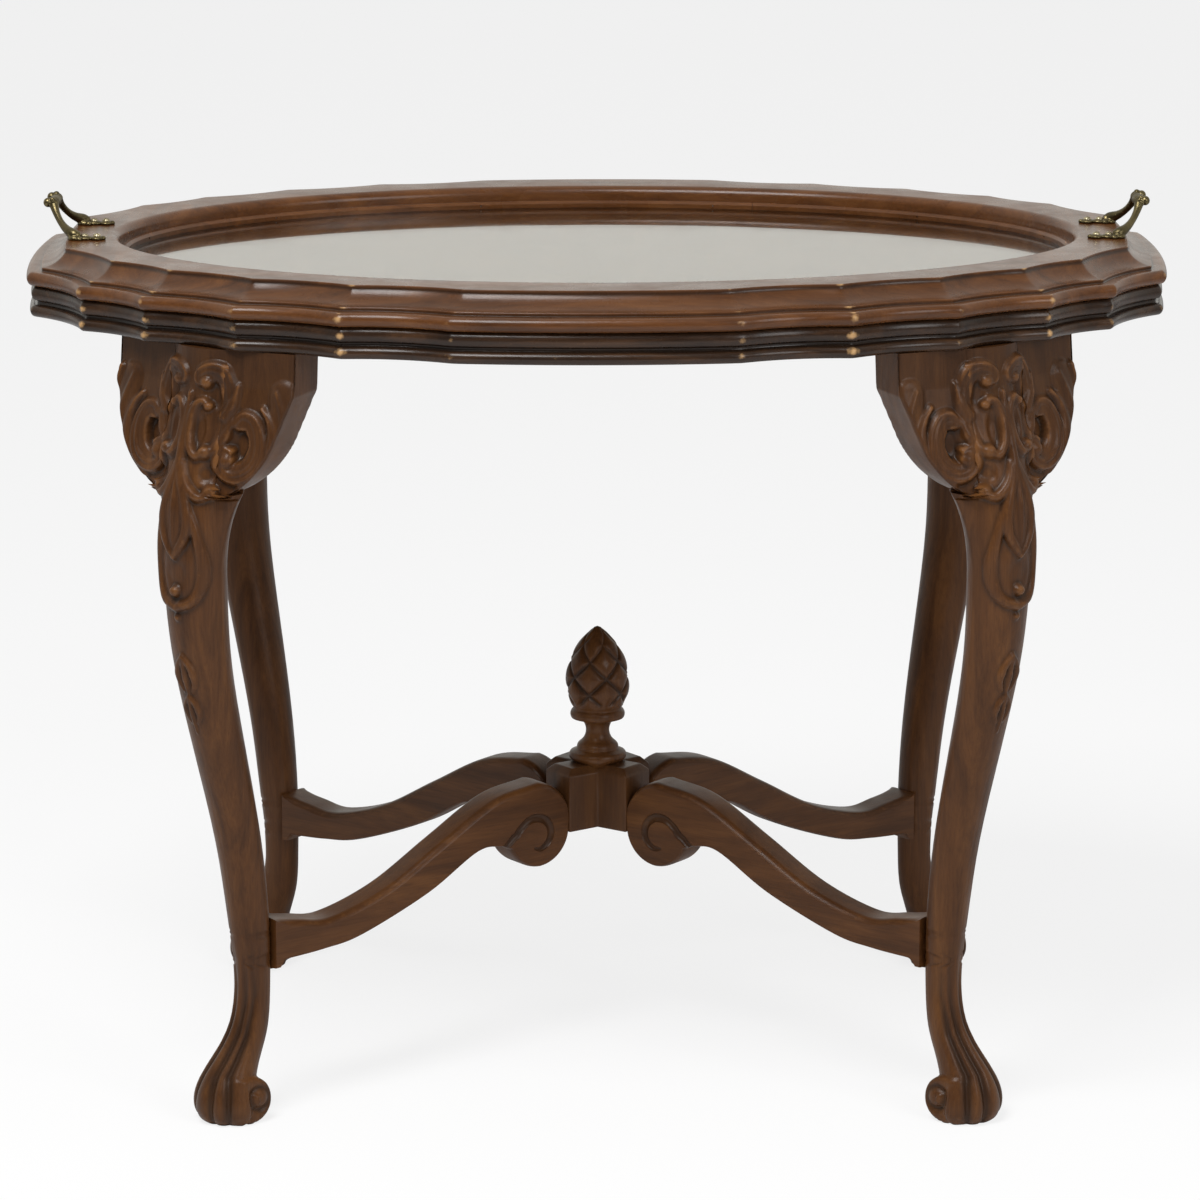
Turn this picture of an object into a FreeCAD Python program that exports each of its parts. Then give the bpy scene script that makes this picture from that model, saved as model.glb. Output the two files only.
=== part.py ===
"""Tray top tea table: four carved cabriole legs, a scrolled cross stretcher and a lift-off glazed tray.

Millimetres, +Z up, origin on the floor under the middle of the table. X runs along the table,
Y across it, and the front is at -Y. Pieces are drawn once in the back right quarter and mirrored.
"""
import FreeCAD, Part
import math
import os

Vector = FreeCAD.Vector
UP = Vector(0, 0, 1)
ORIGIN = Vector(0, 0, 0)

# Heights
TOP_HEIGHT = 592.0            # upper face of the fixed top
TOP_THICKNESS = 22.5
TRAY_THICKNESS = 25.0

# Plan outline of the fixed top: cusps on an ellipse, joined by arcs
OUTLINE_LENGTH = 855.0
OUTLINE_WIDTH = 588.0
CUSP_ANGLES = (17.8, 31.2, 42.0, 54.0, 65.6, 76.5)
SCALLOP_DEPTH = 6.5           # hollow of the short arcs
END_BOW = 5.5                 # bulge of the long arcs at the ends
FRONT_BOW = 7.0               # bulge of the long arcs at front and back
TRAY_OVERHANG = 2.0           # the tray's edge beyond the edge of the fixed top
JOINT_SCALLOP = 1             # the tray rails meet in the middle of this scallop of each quarter
JOINT_LENGTH = 110.0

# Moulded edge of the tray, from the underside up
TRAY_EDGE_UNDERCUT = 3.0
TRAY_NOSE_HEIGHT = 4.5
TRAY_OVOLO_WIDTH = 3.2
TRAY_OVOLO_HEIGHT = 9.7
TRAY_EDGE_FILLET = 7.8
TRAY_EDGE_QUIRK = 2.5
TRAY_COVE_WIDTH = 17.0
TRAY_COVE_HOLLOW = 2.5
TRAY_TOP_DROP = 2.5

# Moulded edge of the fixed top, from the underside up
TOP_EDGE_UNDERCUT = 2.5
TOP_BEAD_HEIGHT = 8.0
TOP_BEAD_SHOULDER = 2.5
TOP_COVE_HEIGHT = 4.0
TOP_COVE_HOLLOW = 3.0
TOP_NOSE_INSET = 1.2
TOP_NOSE_SETBACK = 5.0

# Tray well, glass and glazing bead
WELL_LENGTH = 699.0
WELL_WIDTH = 453.0
WELL_ROLL = 6.5               # rounded lip at the top of the well
LEDGE_WIDTH = 12.5            # ledge that carries the glass
LEDGE_HEIGHT = 4.5
GLASS_THICKNESS = 5.0
GLASS_CLEARANCE = 0.5
BEAD_WIDTH = 5.0
BEAD_HEIGHT = 5.0
BEAD_CHAMFER = 2.0
BEAD_CLEARANCE = 0.1
BEAD_JOINT_X = 120.0          # where the ends of the bent bead meet, at the back
BEAD_JOINT_GAP = 0.4
PIN_COUNT = 12
PIN_RADIUS = 0.6
PIN_LENGTH = 14.0

# Veneered field of the fixed top, seen through the glass
VENEER_LENGTH = 720.0
VENEER_WIDTH = 474.0
VENEER_THICKNESS = 1.2

# Tray joints
RAIL_DOWEL_RADIUS = 4.0
RAIL_DOWEL_LENGTH = 36.0
RAIL_DOWEL_SPACING = 20.0
RAIL_DOWEL_HEIGHT = 8.0
RAIL_DOWEL_INSET = 50.0

# Fits
DOWEL_CLEARANCE = 0.1
DOWEL_END_CLEARANCE = 1.0
SEAT_CLEARANCE = 0.2

# Legs: plane of the curve, ankle, knee and foot
LEG_FACING = 40.0             # degrees between the plane of the curve and the Y axis
LEG_END_SETBACK = 177.8       # ankle inside the end of the fixed top
LEG_SIDE_SETBACK = 112.0      # ankle inside the long side of the fixed top
ANKLE_HEIGHT = 92.0
ANKLE_HALF_WIDTH = 13.2
KNEE_DROP = 165.0             # knee below the top of the leg
KNEE_SHIFT = 49.0             # knee outside the ankle
KNEE_HALF_WIDTH = 24.5
KNEE_FRONT = 20.5
KNEE_BACK = 20.5
LEG_SWEEP_POWER = 1.15
LEG_STATIONS = 6              # sections between ankle and knee
FOOT_TURN = 14.0              # foot turned towards the end, to the line of the stretcher
FOOT_SHIFT = 19.5             # middle of the foot outside the ankle
FOOT_FRONT = 27.0
FOOT_HALF_WIDTH = 26.0
FOOT_BACK = 16.0
FOOT_WIDEST_HEIGHT = 17.0
FOOT_SOLE_INSET = 8.0
FOOT_NECK_HEIGHT = 36.0
FOOT_NECK_SHIFT = 18.8
FOOT_NECK_HALF_WIDTH = 20.2
FLUTE_DEPTH = 3.2
SCROLL_SHIFT = 15.5
SCROLL_RADIUS = 17.5
SCROLL_HALF_WIDTH = 23.0
SCROLL_ROUND = 3.0
SCROLL_EYE_RADIUS = 6.0
SCROLL_EYE_PROUD = 1.6

# Post at the top of each leg, and the ears beside it
POST_SHIFT = 25.0
POST_FRONT = 22.0
POST_HALF_WIDTH = 25.0
POST_ROUND_HALF_WIDTH = 33.0
POST_BACK = 2.0               # flat back of the post, outside the ankle
POST_FLAT_DROP = 60.0
EAR_END_LENGTH = 59.0         # ear towards the end of the table
EAR_SIDE_LENGTH = 54.0        # ear towards the long side
EAR_TIP_HEIGHT = 30.0
EAR_DROP = 104.0
EAR_CHEEK_INSET = 13.0        # cheek inside the tip, where the straight edge turns into the round corner
EAR_CHEEK_DROP = 64.0
EAR_CORNER_INSET = 24.0
EAR_CORNER_DROP = 82.0
EAR_THICKNESS = 38.0
EAR_END_BEND = 5.0            # lean of the ear towards the end of the table
EAR_SIDE_BEND = 18.0          # lean of the ear towards the long side

# Fixings under the top
BLOCK_DEPTH = 34.0
BLOCK_HALF_WIDTH = 24.0
BLOCK_HEIGHT = 38.0
BLOCK_CHAMFER = 14.0
LEG_DOWEL_RADIUS = 5.0
LEG_DOWEL_SPACING = 24.0
LEG_DOWEL_IN_LEG = 32.0
LEG_DOWEL_IN_TOP = 14.0
SCREW_RADIUS = 2.2
SCREW_HEAD_RADIUS = 4.4
SCREW_HEAD_HEIGHT = 2.6
SCREW_SPACING = 26.0
SCREW_IN_TOP = 15.0

# Stretchers: height along the way from the scroll to the leg
STRETCHER_THICKNESS = 28.0
STRETCHER_CHAMFER = 4.0
STRETCHER_TOP_LINE = ((0.17, 204.0), (0.37, 179.5), (0.58, 153.0), (0.78, 138.0), (0.9, 139.0))
STRETCHER_UNDER_LINE = ((0.24, 167.0), (0.43, 143.0), (0.68, 121.5), (0.82, 116.5), (0.93, 114.5))
STRETCHER_END_TOP = 146.5
STRETCHER_END_BOTTOM = 109.5
STRETCHER_PAD_LENGTH = 9.0
STRETCHER_SEAT = 12.0         # flat seat on the leg, from the middle of the leg
VOLUTE_OFFSET = 62.0          # scroll centre from the middle of the table
VOLUTE_HEIGHT = 176.0
VOLUTE_RISE = 35.0
VOLUTE_REACH = 26.5
VOLUTE_DROP = 29.5
VOLUTE_HEEL = 29.0
VOLUTE_NOTCH = 34.0
EYE_RADIUS = 13.5
EYE_GROOVE = 3.4
EYE_GROOVE_DEPTH = 3.0
STRETCHER_DOWEL_RADIUS = 4.5
STRETCHER_DOWEL_SPACING = 18.0
STRETCHER_DOWEL_LENGTH = 34.0
STRETCHER_DOWEL_IN_LEG = 14.0

# Hub and finial
HUB_REACH = 37.0
HUB_WIDTH = 31.0
HUB_BOTTOM = 169.5
HUB_TOP = 217.0
HUB_CHAMFER = 5.0
HUB_DOWEL_LENGTH = 32.0
HUB_DOWEL_IN_HUB = 15.0
HUB_DOWEL_HEIGHT = 182.0
FINIAL_TENON_RADIUS = 7.0
FINIAL_TENON_LENGTH = 26.0
FINIAL_BASE_RADIUS = 21.5
FINIAL_BASE_HEIGHT = 8.0
FINIAL_RING_RADIUS = 15.5
FINIAL_RING_HEIGHT = 7.0
FINIAL_NECK_RADIUS = 8.75
FINIAL_NECK_HEIGHT = 17.0
FINIAL_CUP_RADIUS = 20.5
FINIAL_CUP_HEIGHT = 8.5
FINIAL_CONE_FOOT = 17.5
FINIAL_CONE_RADIUS = 24.0
FINIAL_CONE_BELLY = 17.5
FINIAL_CONE_HEIGHT = 62.5
FINIAL_TIP_RADIUS = 3.0

# Brass handles
HANDLE_WELL_GAP = 21.5        # middle of the foot outside the end of the well
HANDLE_FOOT_Y = 36.5
HANDLE_FOOT_LENGTH = 25.0
HANDLE_FOOT_WIDTH = 11.0
HANDLE_FOOT_THICKNESS = 3.0
HANDLE_GRIP_REACH = 25.0      # grip outside the middle of the foot
HANDLE_GRIP_HEIGHT = 23.0
HANDLE_GRIP_HALF_LENGTH = 14.0
HANDLE_GRIP_RADIUS = 3.9
HANDLE_GRIP_BELLY = 5.0
HANDLE_ARM_RADIUS = 3.6
HANDLE_KNOB_RADIUS = 3.6
HANDLE_SCREW_RADIUS = 1.5
HANDLE_SCREW_LENGTH = 12.0
HANDLE_SCREW_SPACING = 9.0
HANDLE_SCREW_SETBACK = 3.5    # middle of each pair of screws inside the middle of the foot
HANDLE_SCREW_HEAD = 2.8
HANDLE_SCREW_DOME = 1.8

# Working values
LEG_TOP = TOP_HEIGHT - TOP_THICKNESS
KNEE_HEIGHT = LEG_TOP - KNEE_DROP
TRAY_TOP = TOP_HEIGHT + TRAY_THICKNESS
GLASS_BOTTOM = TOP_HEIGHT + LEDGE_HEIGHT
GLASS_TOP = GLASS_BOTTOM + GLASS_THICKNESS
TRAY_EDGE_WIDTH = TRAY_OVOLO_WIDTH + TRAY_EDGE_FILLET + TRAY_COVE_WIDTH
HANDLE_FOOT_X = WELL_LENGTH / 2 + HANDLE_WELL_GAP
HANDLE_GRIP_X = HANDLE_FOOT_X + HANDLE_GRIP_REACH
ANKLE_X = OUTLINE_LENGTH / 2 - LEG_END_SETBACK
ANKLE_Y = OUTLINE_WIDTH / 2 - LEG_SIDE_SETBACK
LEG_REACH = math.hypot(ANKLE_X, ANKLE_Y)
STRETCHER_ANGLE = math.degrees(math.atan2(ANKLE_Y, ANKLE_X))
CUT_MARGIN = 2.0              # how far blanks and cutters run past the finished faces
CUTTER_REACH = 30.0
CUTTER_OVERRUN = 8.0          # degrees past each cusp


def line(start, end):
    return Part.LineSegment(start, end).toShape()


def arc(start, through, end):
    return Part.Arc(start, through, end).toShape()


def closed_face(edges):
    return Part.Face(Part.Wire(edges))


def polygon_face(points):
    return Part.Face(Part.makePolygon(list(points) + [points[0]]))


def rod(radius, start, end):
    axis = end - start
    return Part.makeCylinder(radius, axis.Length, start, axis)


def turned(shape, degrees):
    copy = shape.copy()
    copy.rotate(ORIGIN, UP, degrees)
    return copy


def across_x(shape):
    return shape.mirror(ORIGIN, Vector(1, 0, 0))


def across_y(shape):
    return shape.mirror(ORIGIN, Vector(0, 1, 0))


def quarters(shape):
    """The shape of the back right quarter and its three mirror images."""
    left = across_x(shape)
    return {
        "back_right": shape,
        "back_left": left,
        "front_right": across_y(shape),
        "front_left": across_y(left),
    }


def all_quarters(shapes):
    return [copy for shape in shapes for copy in quarters(shape).values()]


def cut_edges(blank, cutters):
    """Cuts every other edge first, so that no two cutters of one cut meet."""
    return blank.cut(cutters[0::2]).cut(cutters[1::2])


def save(name, shape):
    shape.exportStep("parts/" + name + ".step")


# Plan outline

def ellipse_point(length, width, degrees):
    angle = math.radians(degrees)
    return Vector(0.5 * length * math.cos(angle), 0.5 * width * math.sin(angle), 0)


class Segment:
    """One arc of the outline between two cusps; hollow arcs are scallops, the others bow outwards."""

    def __init__(self, start, end, sagitta, hollow):
        chord = end - start
        middle = (start + end) * 0.5
        outward = Vector(chord.y, -chord.x, 0).normalize()
        self.hollow = hollow
        self.start = start
        self.end = end
        self.radius = chord.Length ** 2 / (8 * sagitta) + sagitta / 2
        self.half_angle = math.degrees(math.asin(chord.Length / (2 * self.radius)))
        toward_centre = outward if hollow else outward * -1
        self.centre = middle + toward_centre * (self.radius - sagitta)
        look = toward_centre * -1
        self.mid_angle = math.degrees(math.atan2(look.y, look.x))

    def point(self, share, push):
        """A point along the arc, pushed outwards from the table."""
        angle = math.radians(self.mid_angle + (2 * share - 1) * self.half_angle * (-1 if self.hollow else 1))
        reach = self.radius - push if self.hollow else self.radius + push
        return self.centre + Vector(math.cos(angle), math.sin(angle), 0) * reach


def outline(overhang):
    """Arcs of the whole outline, anticlockwise from the right-hand end."""
    length = OUTLINE_LENGTH + 2 * overhang
    width = OUTLINE_WIDTH + 2 * overhang
    quarter = list(CUSP_ANGLES)
    angles = quarter + [180 - a for a in reversed(quarter)]
    angles += [180 + a for a in quarter] + [360 - a for a in reversed(quarter)]
    cusps = [ellipse_point(length, width, a) for a in angles]
    per_quarter = len(quarter)
    segments = []
    for index, start in enumerate(cusps):
        end = cusps[(index + 1) % len(cusps)]
        wide = (index + 1) % per_quarter == 0
        at_end = wide and ((index + 1) // per_quarter) % 2 == 0
        bow = END_BOW if at_end else FRONT_BOW
        segments.append(Segment(start, end, bow if wide else SCALLOP_DEPTH, not wide))
    return segments


def tray_edge_profile():
    """Steps of (inset, height) from the underside to the upper face: lines of two points, arcs of three."""
    bottom = TOP_HEIGHT
    ovolo_top = bottom + TRAY_OVOLO_HEIGHT
    cove_low = ovolo_top + TRAY_EDGE_QUIRK
    cove_high = TRAY_TOP - TRAY_TOP_DROP
    fillet = TRAY_OVOLO_WIDTH + TRAY_EDGE_FILLET
    run = math.hypot(TRAY_COVE_WIDTH, cove_high - cove_low)
    hollow_in = TRAY_COVE_HOLLOW * (cove_high - cove_low) / run
    hollow_down = TRAY_COVE_HOLLOW * TRAY_COVE_WIDTH / run
    cove_middle = (fillet + TRAY_COVE_WIDTH / 2 + hollow_in, (cove_low + cove_high) / 2 - hollow_down)
    return [
        ((TRAY_EDGE_UNDERCUT, bottom - CUT_MARGIN), (TRAY_EDGE_UNDERCUT, bottom)),
        ((TRAY_EDGE_UNDERCUT, bottom), (0, bottom + TRAY_NOSE_HEIGHT), (TRAY_OVOLO_WIDTH, ovolo_top)),
        ((TRAY_OVOLO_WIDTH, ovolo_top), (fillet, ovolo_top)),
        ((fillet, ovolo_top), (fillet, cove_low)),
        ((fillet, cove_low), cove_middle, (TRAY_EDGE_WIDTH, cove_high)),
        ((TRAY_EDGE_WIDTH, cove_high), (TRAY_EDGE_WIDTH, TRAY_TOP + CUT_MARGIN)),
    ]


def top_edge_profile():
    bottom = LEG_TOP
    bead_top = bottom + TOP_BEAD_HEIGHT
    cove_top = bead_top + TOP_COVE_HEIGHT
    cove_deep = TOP_BEAD_SHOULDER + TOP_COVE_HOLLOW
    bead_middle = bottom + TOP_BEAD_HEIGHT / 2
    nose_middle = (cove_top + TOP_HEIGHT) / 2
    return [
        ((TOP_EDGE_UNDERCUT, bottom - CUT_MARGIN), (TOP_EDGE_UNDERCUT, bottom)),
        ((TOP_EDGE_UNDERCUT, bottom), (0, bead_middle), (TOP_BEAD_SHOULDER, bead_top)),
        ((TOP_BEAD_SHOULDER, bead_top), (cove_deep, (bead_top + cove_top) / 2), (TOP_BEAD_SHOULDER, cove_top)),
        ((TOP_BEAD_SHOULDER, cove_top), (TOP_NOSE_INSET, nose_middle), (TOP_NOSE_SETBACK, TOP_HEIGHT)),
        ((TOP_NOSE_SETBACK, TOP_HEIGHT), (TOP_NOSE_SETBACK, TOP_HEIGHT + CUT_MARGIN)),
    ]


def edge_cutter(segment, profile):
    """What the cutter takes away along one arc: the profile swung about the arc's own centre."""
    side = 1 if segment.hollow else -1

    def place(point):
        return Vector(segment.radius + side * point[0], 0, point[1])

    edges = []
    for step in profile:
        points = [place(point) for point in step]
        edges.append(line(*points) if len(points) == 2 else arc(*points))
    low = place(profile[0][0])
    high = place(profile[-1][-1])
    waste = segment.radius - side * CUTTER_REACH
    far_high = Vector(waste, 0, high.z)
    far_low = Vector(waste, 0, low.z)
    edges += [line(high, far_high), line(far_high, far_low), line(far_low, low)]
    swing = segment.half_angle + CUTTER_OVERRUN * (1 if segment.hollow else 0.25)
    face = turned(closed_face(edges), segment.mid_angle - swing)
    cutter = face.revolve(ORIGIN, UP, 2 * swing)
    cutter.translate(segment.centre)
    return cutter


def blank_points(segments):
    """Corners of a blank a little outside the arcs."""
    points = []
    for segment in segments:
        shares = (0.0, 1.0) if segment.hollow else (0.0, 0.2, 0.4, 0.6, 0.8, 1.0)
        push = CUT_MARGIN if segment.hollow else 2 * CUT_MARGIN
        points += [segment.point(share, push) for share in shares]
    return points


def oval(length, width, height):
    ellipse = Part.Ellipse(ORIGIN, length / 2, width / 2).toShape()
    wire = Part.Wire([ellipse])
    wire.translate(Vector(0, 0, height))
    return wire


def oval_plate(length, width, bottom, top):
    return Part.Face(oval(length, width, bottom)).extrude(Vector(0, 0, top - bottom))


# Tray

def pin_rods(clearance):
    """Panel pins driven through the glazing bead into the wall of the well."""
    rods = []
    height = GLASS_TOP + BEAD_HEIGHT / 2 - BEAD_CHAMFER / 4
    for index in range(PIN_COUNT):
        angle = (index + 0.5) * 360.0 / PIN_COUNT
        wall = ellipse_point(WELL_LENGTH, WELL_WIDTH, angle)
        outward = Vector(wall.x / WELL_LENGTH ** 2, wall.y / WELL_WIDTH ** 2, 0).normalize()
        head = wall - outward * (BEAD_WIDTH - BEAD_CHAMFER / 2) + Vector(0, 0, height)
        tail = head + outward * (PIN_LENGTH + (DOWEL_END_CLEARANCE if clearance else 0))
        rods.append(rod(PIN_RADIUS + clearance, head - outward * (CUT_MARGIN if clearance else 0), tail))
    return rods


def well_cutters():
    """The opening of the tray: through hole inside the ledge, wall above it and a rolled lip."""
    ledge_length = WELL_LENGTH - 2 * LEDGE_WIDTH
    ledge_width = WELL_WIDTH - 2 * LEDGE_WIDTH
    hole = oval_plate(ledge_length, ledge_width, TOP_HEIGHT - CUT_MARGIN, GLASS_BOTTOM + CUT_MARGIN)
    wall = oval_plate(WELL_LENGTH, WELL_WIDTH, GLASS_BOTTOM, TRAY_TOP + CUT_MARGIN)
    lip = []
    for quarter_turn in (0.0, 30.0, 60.0, 90.0):
        angle = math.radians(quarter_turn)
        grow = 2 * WELL_ROLL * (1 - math.cos(angle))
        rise = TRAY_TOP - WELL_ROLL * (1 - math.sin(angle))
        lip.append(oval(WELL_LENGTH + grow, WELL_WIDTH + grow, rise))
    return [hole, wall, Part.makeLoft(lip, True)]


def rail_joint():
    """Ends of the glue line between two tray rails in the back right quarter, inside first."""
    scallop = outline(TRAY_OVERHANG)[JOINT_SCALLOP]
    return scallop.point(0.5, -JOINT_LENGTH), scallop.point(0.5, CUT_MARGIN)


def rail_dowels(clearance):
    """Two dowels across the glue line of the back right quarter."""
    inner, outer = rail_joint()
    along = (outer - inner).normalize()
    across = Vector(-along.y, along.x, 0)
    middle = outer - along * RAIL_DOWEL_INSET + Vector(0, 0, TOP_HEIGHT + RAIL_DOWEL_HEIGHT)
    half = RAIL_DOWEL_LENGTH / 2 + (DOWEL_END_CLEARANCE if clearance else 0)
    rods = []
    for side in (-0.5, 0.5):
        centre = middle + along * (side * RAIL_DOWEL_SPACING)
        rods.append(rod(RAIL_DOWEL_RADIUS + clearance, centre - across * half, centre + across * half))
    return rods


def tray_rail(segments, first, count, sides, holes):
    """One rail of the tray frame: the blank between two glue lines, moulded outside and opened inside."""
    total = len(segments)
    run = [segments[(first + i) % total] for i in range(count)]
    inner, outer = rail_joint()
    start_side, end_side = sides
    points = blank_points(run)[1:-1]
    points += [across_point(outer, *end_side), across_point(inner, *end_side)]
    points += [across_point(inner, *start_side), across_point(outer, *start_side)]
    blank = polygon_face(points).extrude(Vector(0, 0, TRAY_THICKNESS))
    blank.translate(Vector(0, 0, TOP_HEIGHT))
    cutters = [edge_cutter(segment, tray_edge_profile()) for segment in run]
    return cut_edges(blank, cutters).cut(well_cutters()).cut(holes)


def build_tray():
    segments = outline(TRAY_OVERHANG)
    per_quarter = len(CUSP_ANGLES)
    holes = pin_rods(DOWEL_CLEARANCE) + all_quarters(rail_dowels(DOWEL_CLEARANCE))
    long_count = 2 * (per_quarter - JOINT_SCALLOP) - 1
    back = tray_rail(segments, JOINT_SCALLOP, long_count, ((1, 1), (-1, 1)), holes)
    short_count = 2 * JOINT_SCALLOP + 3
    right_first = len(segments) - 2 - JOINT_SCALLOP
    handle_holes = handle_screws(DOWEL_CLEARANCE)
    right = tray_rail(segments, right_first, short_count, ((1, -1), (1, 1)), holes + handle_holes)
    save("tray_rail_back", back)
    save("tray_rail_front", across_y(back))
    save("tray_rail_right", right)
    save("tray_rail_left", across_x(right))
    save("tray_rail_dowels", Part.makeCompound(all_quarters(rail_dowels(0))))
    save("tray_glass", tray_glass())
    save("glazing_bead", glazing_bead())
    save("glazing_pins", Part.makeCompound(pin_rods(0)))
    handle = tray_handle()
    screws = Part.makeCompound(handle_screws(0))
    save("handle_right", handle)
    save("handle_left", across_x(handle))
    save("handle_screws_right", screws)
    save("handle_screws_left", across_x(screws))


def across_point(point, x_side, y_side):
    return Vector(x_side * point.x, y_side * point.y, point.z)


def tray_glass():
    gap = 2 * GLASS_CLEARANCE
    return oval_plate(WELL_LENGTH - gap, WELL_WIDTH - gap, GLASS_BOTTOM, GLASS_TOP)


def glazing_bead():
    """Bent strip on the glass: a ring of rectangular section with its inner top edge eased off."""
    length = WELL_LENGTH - 2 * BEAD_CLEARANCE
    width = WELL_WIDTH - 2 * BEAD_CLEARANCE
    top = GLASS_TOP + BEAD_HEIGHT
    inner_length = length - 2 * BEAD_WIDTH
    inner_width = width - 2 * BEAD_WIDTH
    ring = oval_plate(length, width, GLASS_TOP, top)
    hole = oval_plate(inner_length, inner_width, GLASS_TOP - CUT_MARGIN, top + CUT_MARGIN)
    ease = Part.makeLoft([
        oval(inner_length - 2 * BEAD_CHAMFER, inner_width - 2 * BEAD_CHAMFER, top - 2 * BEAD_CHAMFER),
        oval(inner_length + 4 * BEAD_CHAMFER, inner_width + 4 * BEAD_CHAMFER, top + BEAD_CHAMFER),
    ], True, True)
    gap = Part.makeBox(BEAD_JOINT_GAP, WELL_WIDTH, BEAD_HEIGHT + 2 * CUT_MARGIN)
    gap.translate(Vector(BEAD_JOINT_X - BEAD_JOINT_GAP / 2, 0, GLASS_TOP - CUT_MARGIN))
    return ring.cut([hole, ease, gap] + pin_rods(DOWEL_CLEARANCE))


def handle_foot_centres():
    return [Vector(HANDLE_FOOT_X, side * HANDLE_FOOT_Y, TRAY_TOP) for side in (-1, 1)]


def handle_screws(clearance):
    """Round-headed screws through the handle feet, or the holes for them."""
    screws = []
    for centre in handle_foot_centres():
        for side in (-0.5, 0.5):
            step = side * HANDLE_SCREW_SPACING - HANDLE_SCREW_SETBACK
            place = centre + Vector(step, 0, HANDLE_FOOT_THICKNESS)
            if clearance:
                tip = place - UP * (HANDLE_SCREW_LENGTH + DOWEL_END_CLEARANCE)
                screws.append(rod(HANDLE_SCREW_RADIUS + clearance, tip, place + UP * CUT_MARGIN))
            else:
                screw = round_head_screw()
                screw.translate(place)
                screws.append(screw)
    return screws


def round_head_screw():
    """Screw with its head resting on the level Z = 0."""
    foot = Vector(0, 0, -HANDLE_SCREW_LENGTH)
    tip = Vector(HANDLE_SCREW_RADIUS, 0, -HANDLE_SCREW_LENGTH)
    neck = Vector(HANDLE_SCREW_RADIUS, 0, 0)
    rim = Vector(HANDLE_SCREW_HEAD, 0, 0)
    dome = (HANDLE_SCREW_HEAD ** 2 + HANDLE_SCREW_DOME ** 2) / (2 * HANDLE_SCREW_DOME)
    lean = math.asin(HANDLE_SCREW_HEAD / dome) / 2
    shoulder = Vector(dome * math.sin(lean), 0, HANDLE_SCREW_DOME - dome * (1 - math.cos(lean)))
    crown = Vector(0, 0, HANDLE_SCREW_DOME)
    section = closed_face([
        line(foot, tip), line(tip, neck), line(neck, rim), arc(rim, shoulder, crown), line(crown, foot),
    ])
    return section.revolve(ORIGIN, UP, 360)


def tray_handle():
    """Cast handle: two screwed feet, two arms that rise outwards and lean together, and a turned grip."""
    grip_height = TRAY_TOP + HANDLE_GRIP_HEIGHT
    pieces = []
    half_foot = HANDLE_FOOT_LENGTH / 2 - HANDLE_FOOT_WIDTH / 2
    for centre in handle_foot_centres():
        side = 1 if centre.y > 0 else -1
        ends = [centre + Vector(step * half_foot, 0, 0) for step in (-1, 1)]
        bar = Part.makeBox(2 * half_foot, HANDLE_FOOT_WIDTH, HANDLE_FOOT_THICKNESS)
        bar.translate(ends[0] - Vector(0, HANDLE_FOOT_WIDTH / 2, 0))
        pads = [Part.makeCylinder(HANDLE_FOOT_WIDTH / 2, HANDLE_FOOT_THICKNESS, end) for end in ends]
        arm_foot = centre + Vector(HANDLE_FOOT_LENGTH / 2 - HANDLE_ARM_RADIUS, 0, HANDLE_ARM_RADIUS)
        arm_top = Vector(HANDLE_GRIP_X, side * HANDLE_GRIP_HALF_LENGTH, grip_height)
        lift = (arm_top - arm_foot) * 0.5
        sag = Vector(lift.z, 0, -lift.x).normalize() * (HANDLE_ARM_RADIUS * 0.8)
        path = Part.Wire([arc(arm_foot, arm_foot + lift + sag, arm_top)])
        start = path.Edges[0].tangentAt(path.Edges[0].FirstParameter)
        ring = Part.Wire([Part.Circle(arm_foot, start, HANDLE_ARM_RADIUS).toShape()])
        arm = path.makePipeShell([ring], True, True)
        heel = Part.makeSphere(HANDLE_ARM_RADIUS, arm_foot)
        knob = Part.makeSphere(HANDLE_KNOB_RADIUS, arm_top + Vector(HANDLE_ARM_RADIUS + 1.0, 0, 1.0))
        pieces += [bar, *pads, arm, heel, knob]
    pieces.append(handle_grip(grip_height))
    below = Part.makeBox(2 * CUTTER_REACH, 4 * HANDLE_FOOT_Y, CUTTER_REACH)
    below.translate(Vector(HANDLE_FOOT_X - CUTTER_REACH, -2 * HANDLE_FOOT_Y, TRAY_TOP - CUTTER_REACH))
    body = pieces[0].fuse(pieces[1:]).cut([below] + handle_screws(DOWEL_CLEARANCE))
    return body.removeSplitter()


def handle_grip(height):
    """Spindle between the arms, with rounded ends."""
    half = HANDLE_GRIP_HALF_LENGTH + HANDLE_ARM_RADIUS
    left = Vector(0, -half, 0)
    right = Vector(0, half, 0)
    left_rim = Vector(HANDLE_GRIP_RADIUS, -half, 0)
    right_rim = Vector(HANDLE_GRIP_RADIUS, half, 0)
    belly = Vector(HANDLE_GRIP_BELLY, 0, 0)
    section = closed_face([
        line(left, left_rim), arc(left_rim, belly, right_rim), line(right_rim, right), line(right, left),
    ])
    grip = section.revolve(ORIGIN, Vector(0, 1, 0), 360)
    grip.translate(Vector(HANDLE_GRIP_X, 0, height))
    return grip


# Fixed top

def leg_place(across, outward, height):
    """A point given across and along the plane of the back right leg, in table coordinates."""
    angle = math.radians(LEG_FACING)
    along_x = across * math.cos(angle) + outward * math.sin(angle)
    along_y = outward * math.cos(angle) - across * math.sin(angle)
    return Vector(ANKLE_X + along_x, ANKLE_Y + along_y, height)


def set_leg(shape):
    """Moves a shape drawn about the ankle, with Y outwards, to the back right leg."""
    placed = turned(shape, -LEG_FACING)
    placed.translate(Vector(ANKLE_X, ANKLE_Y, 0))
    return placed


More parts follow.
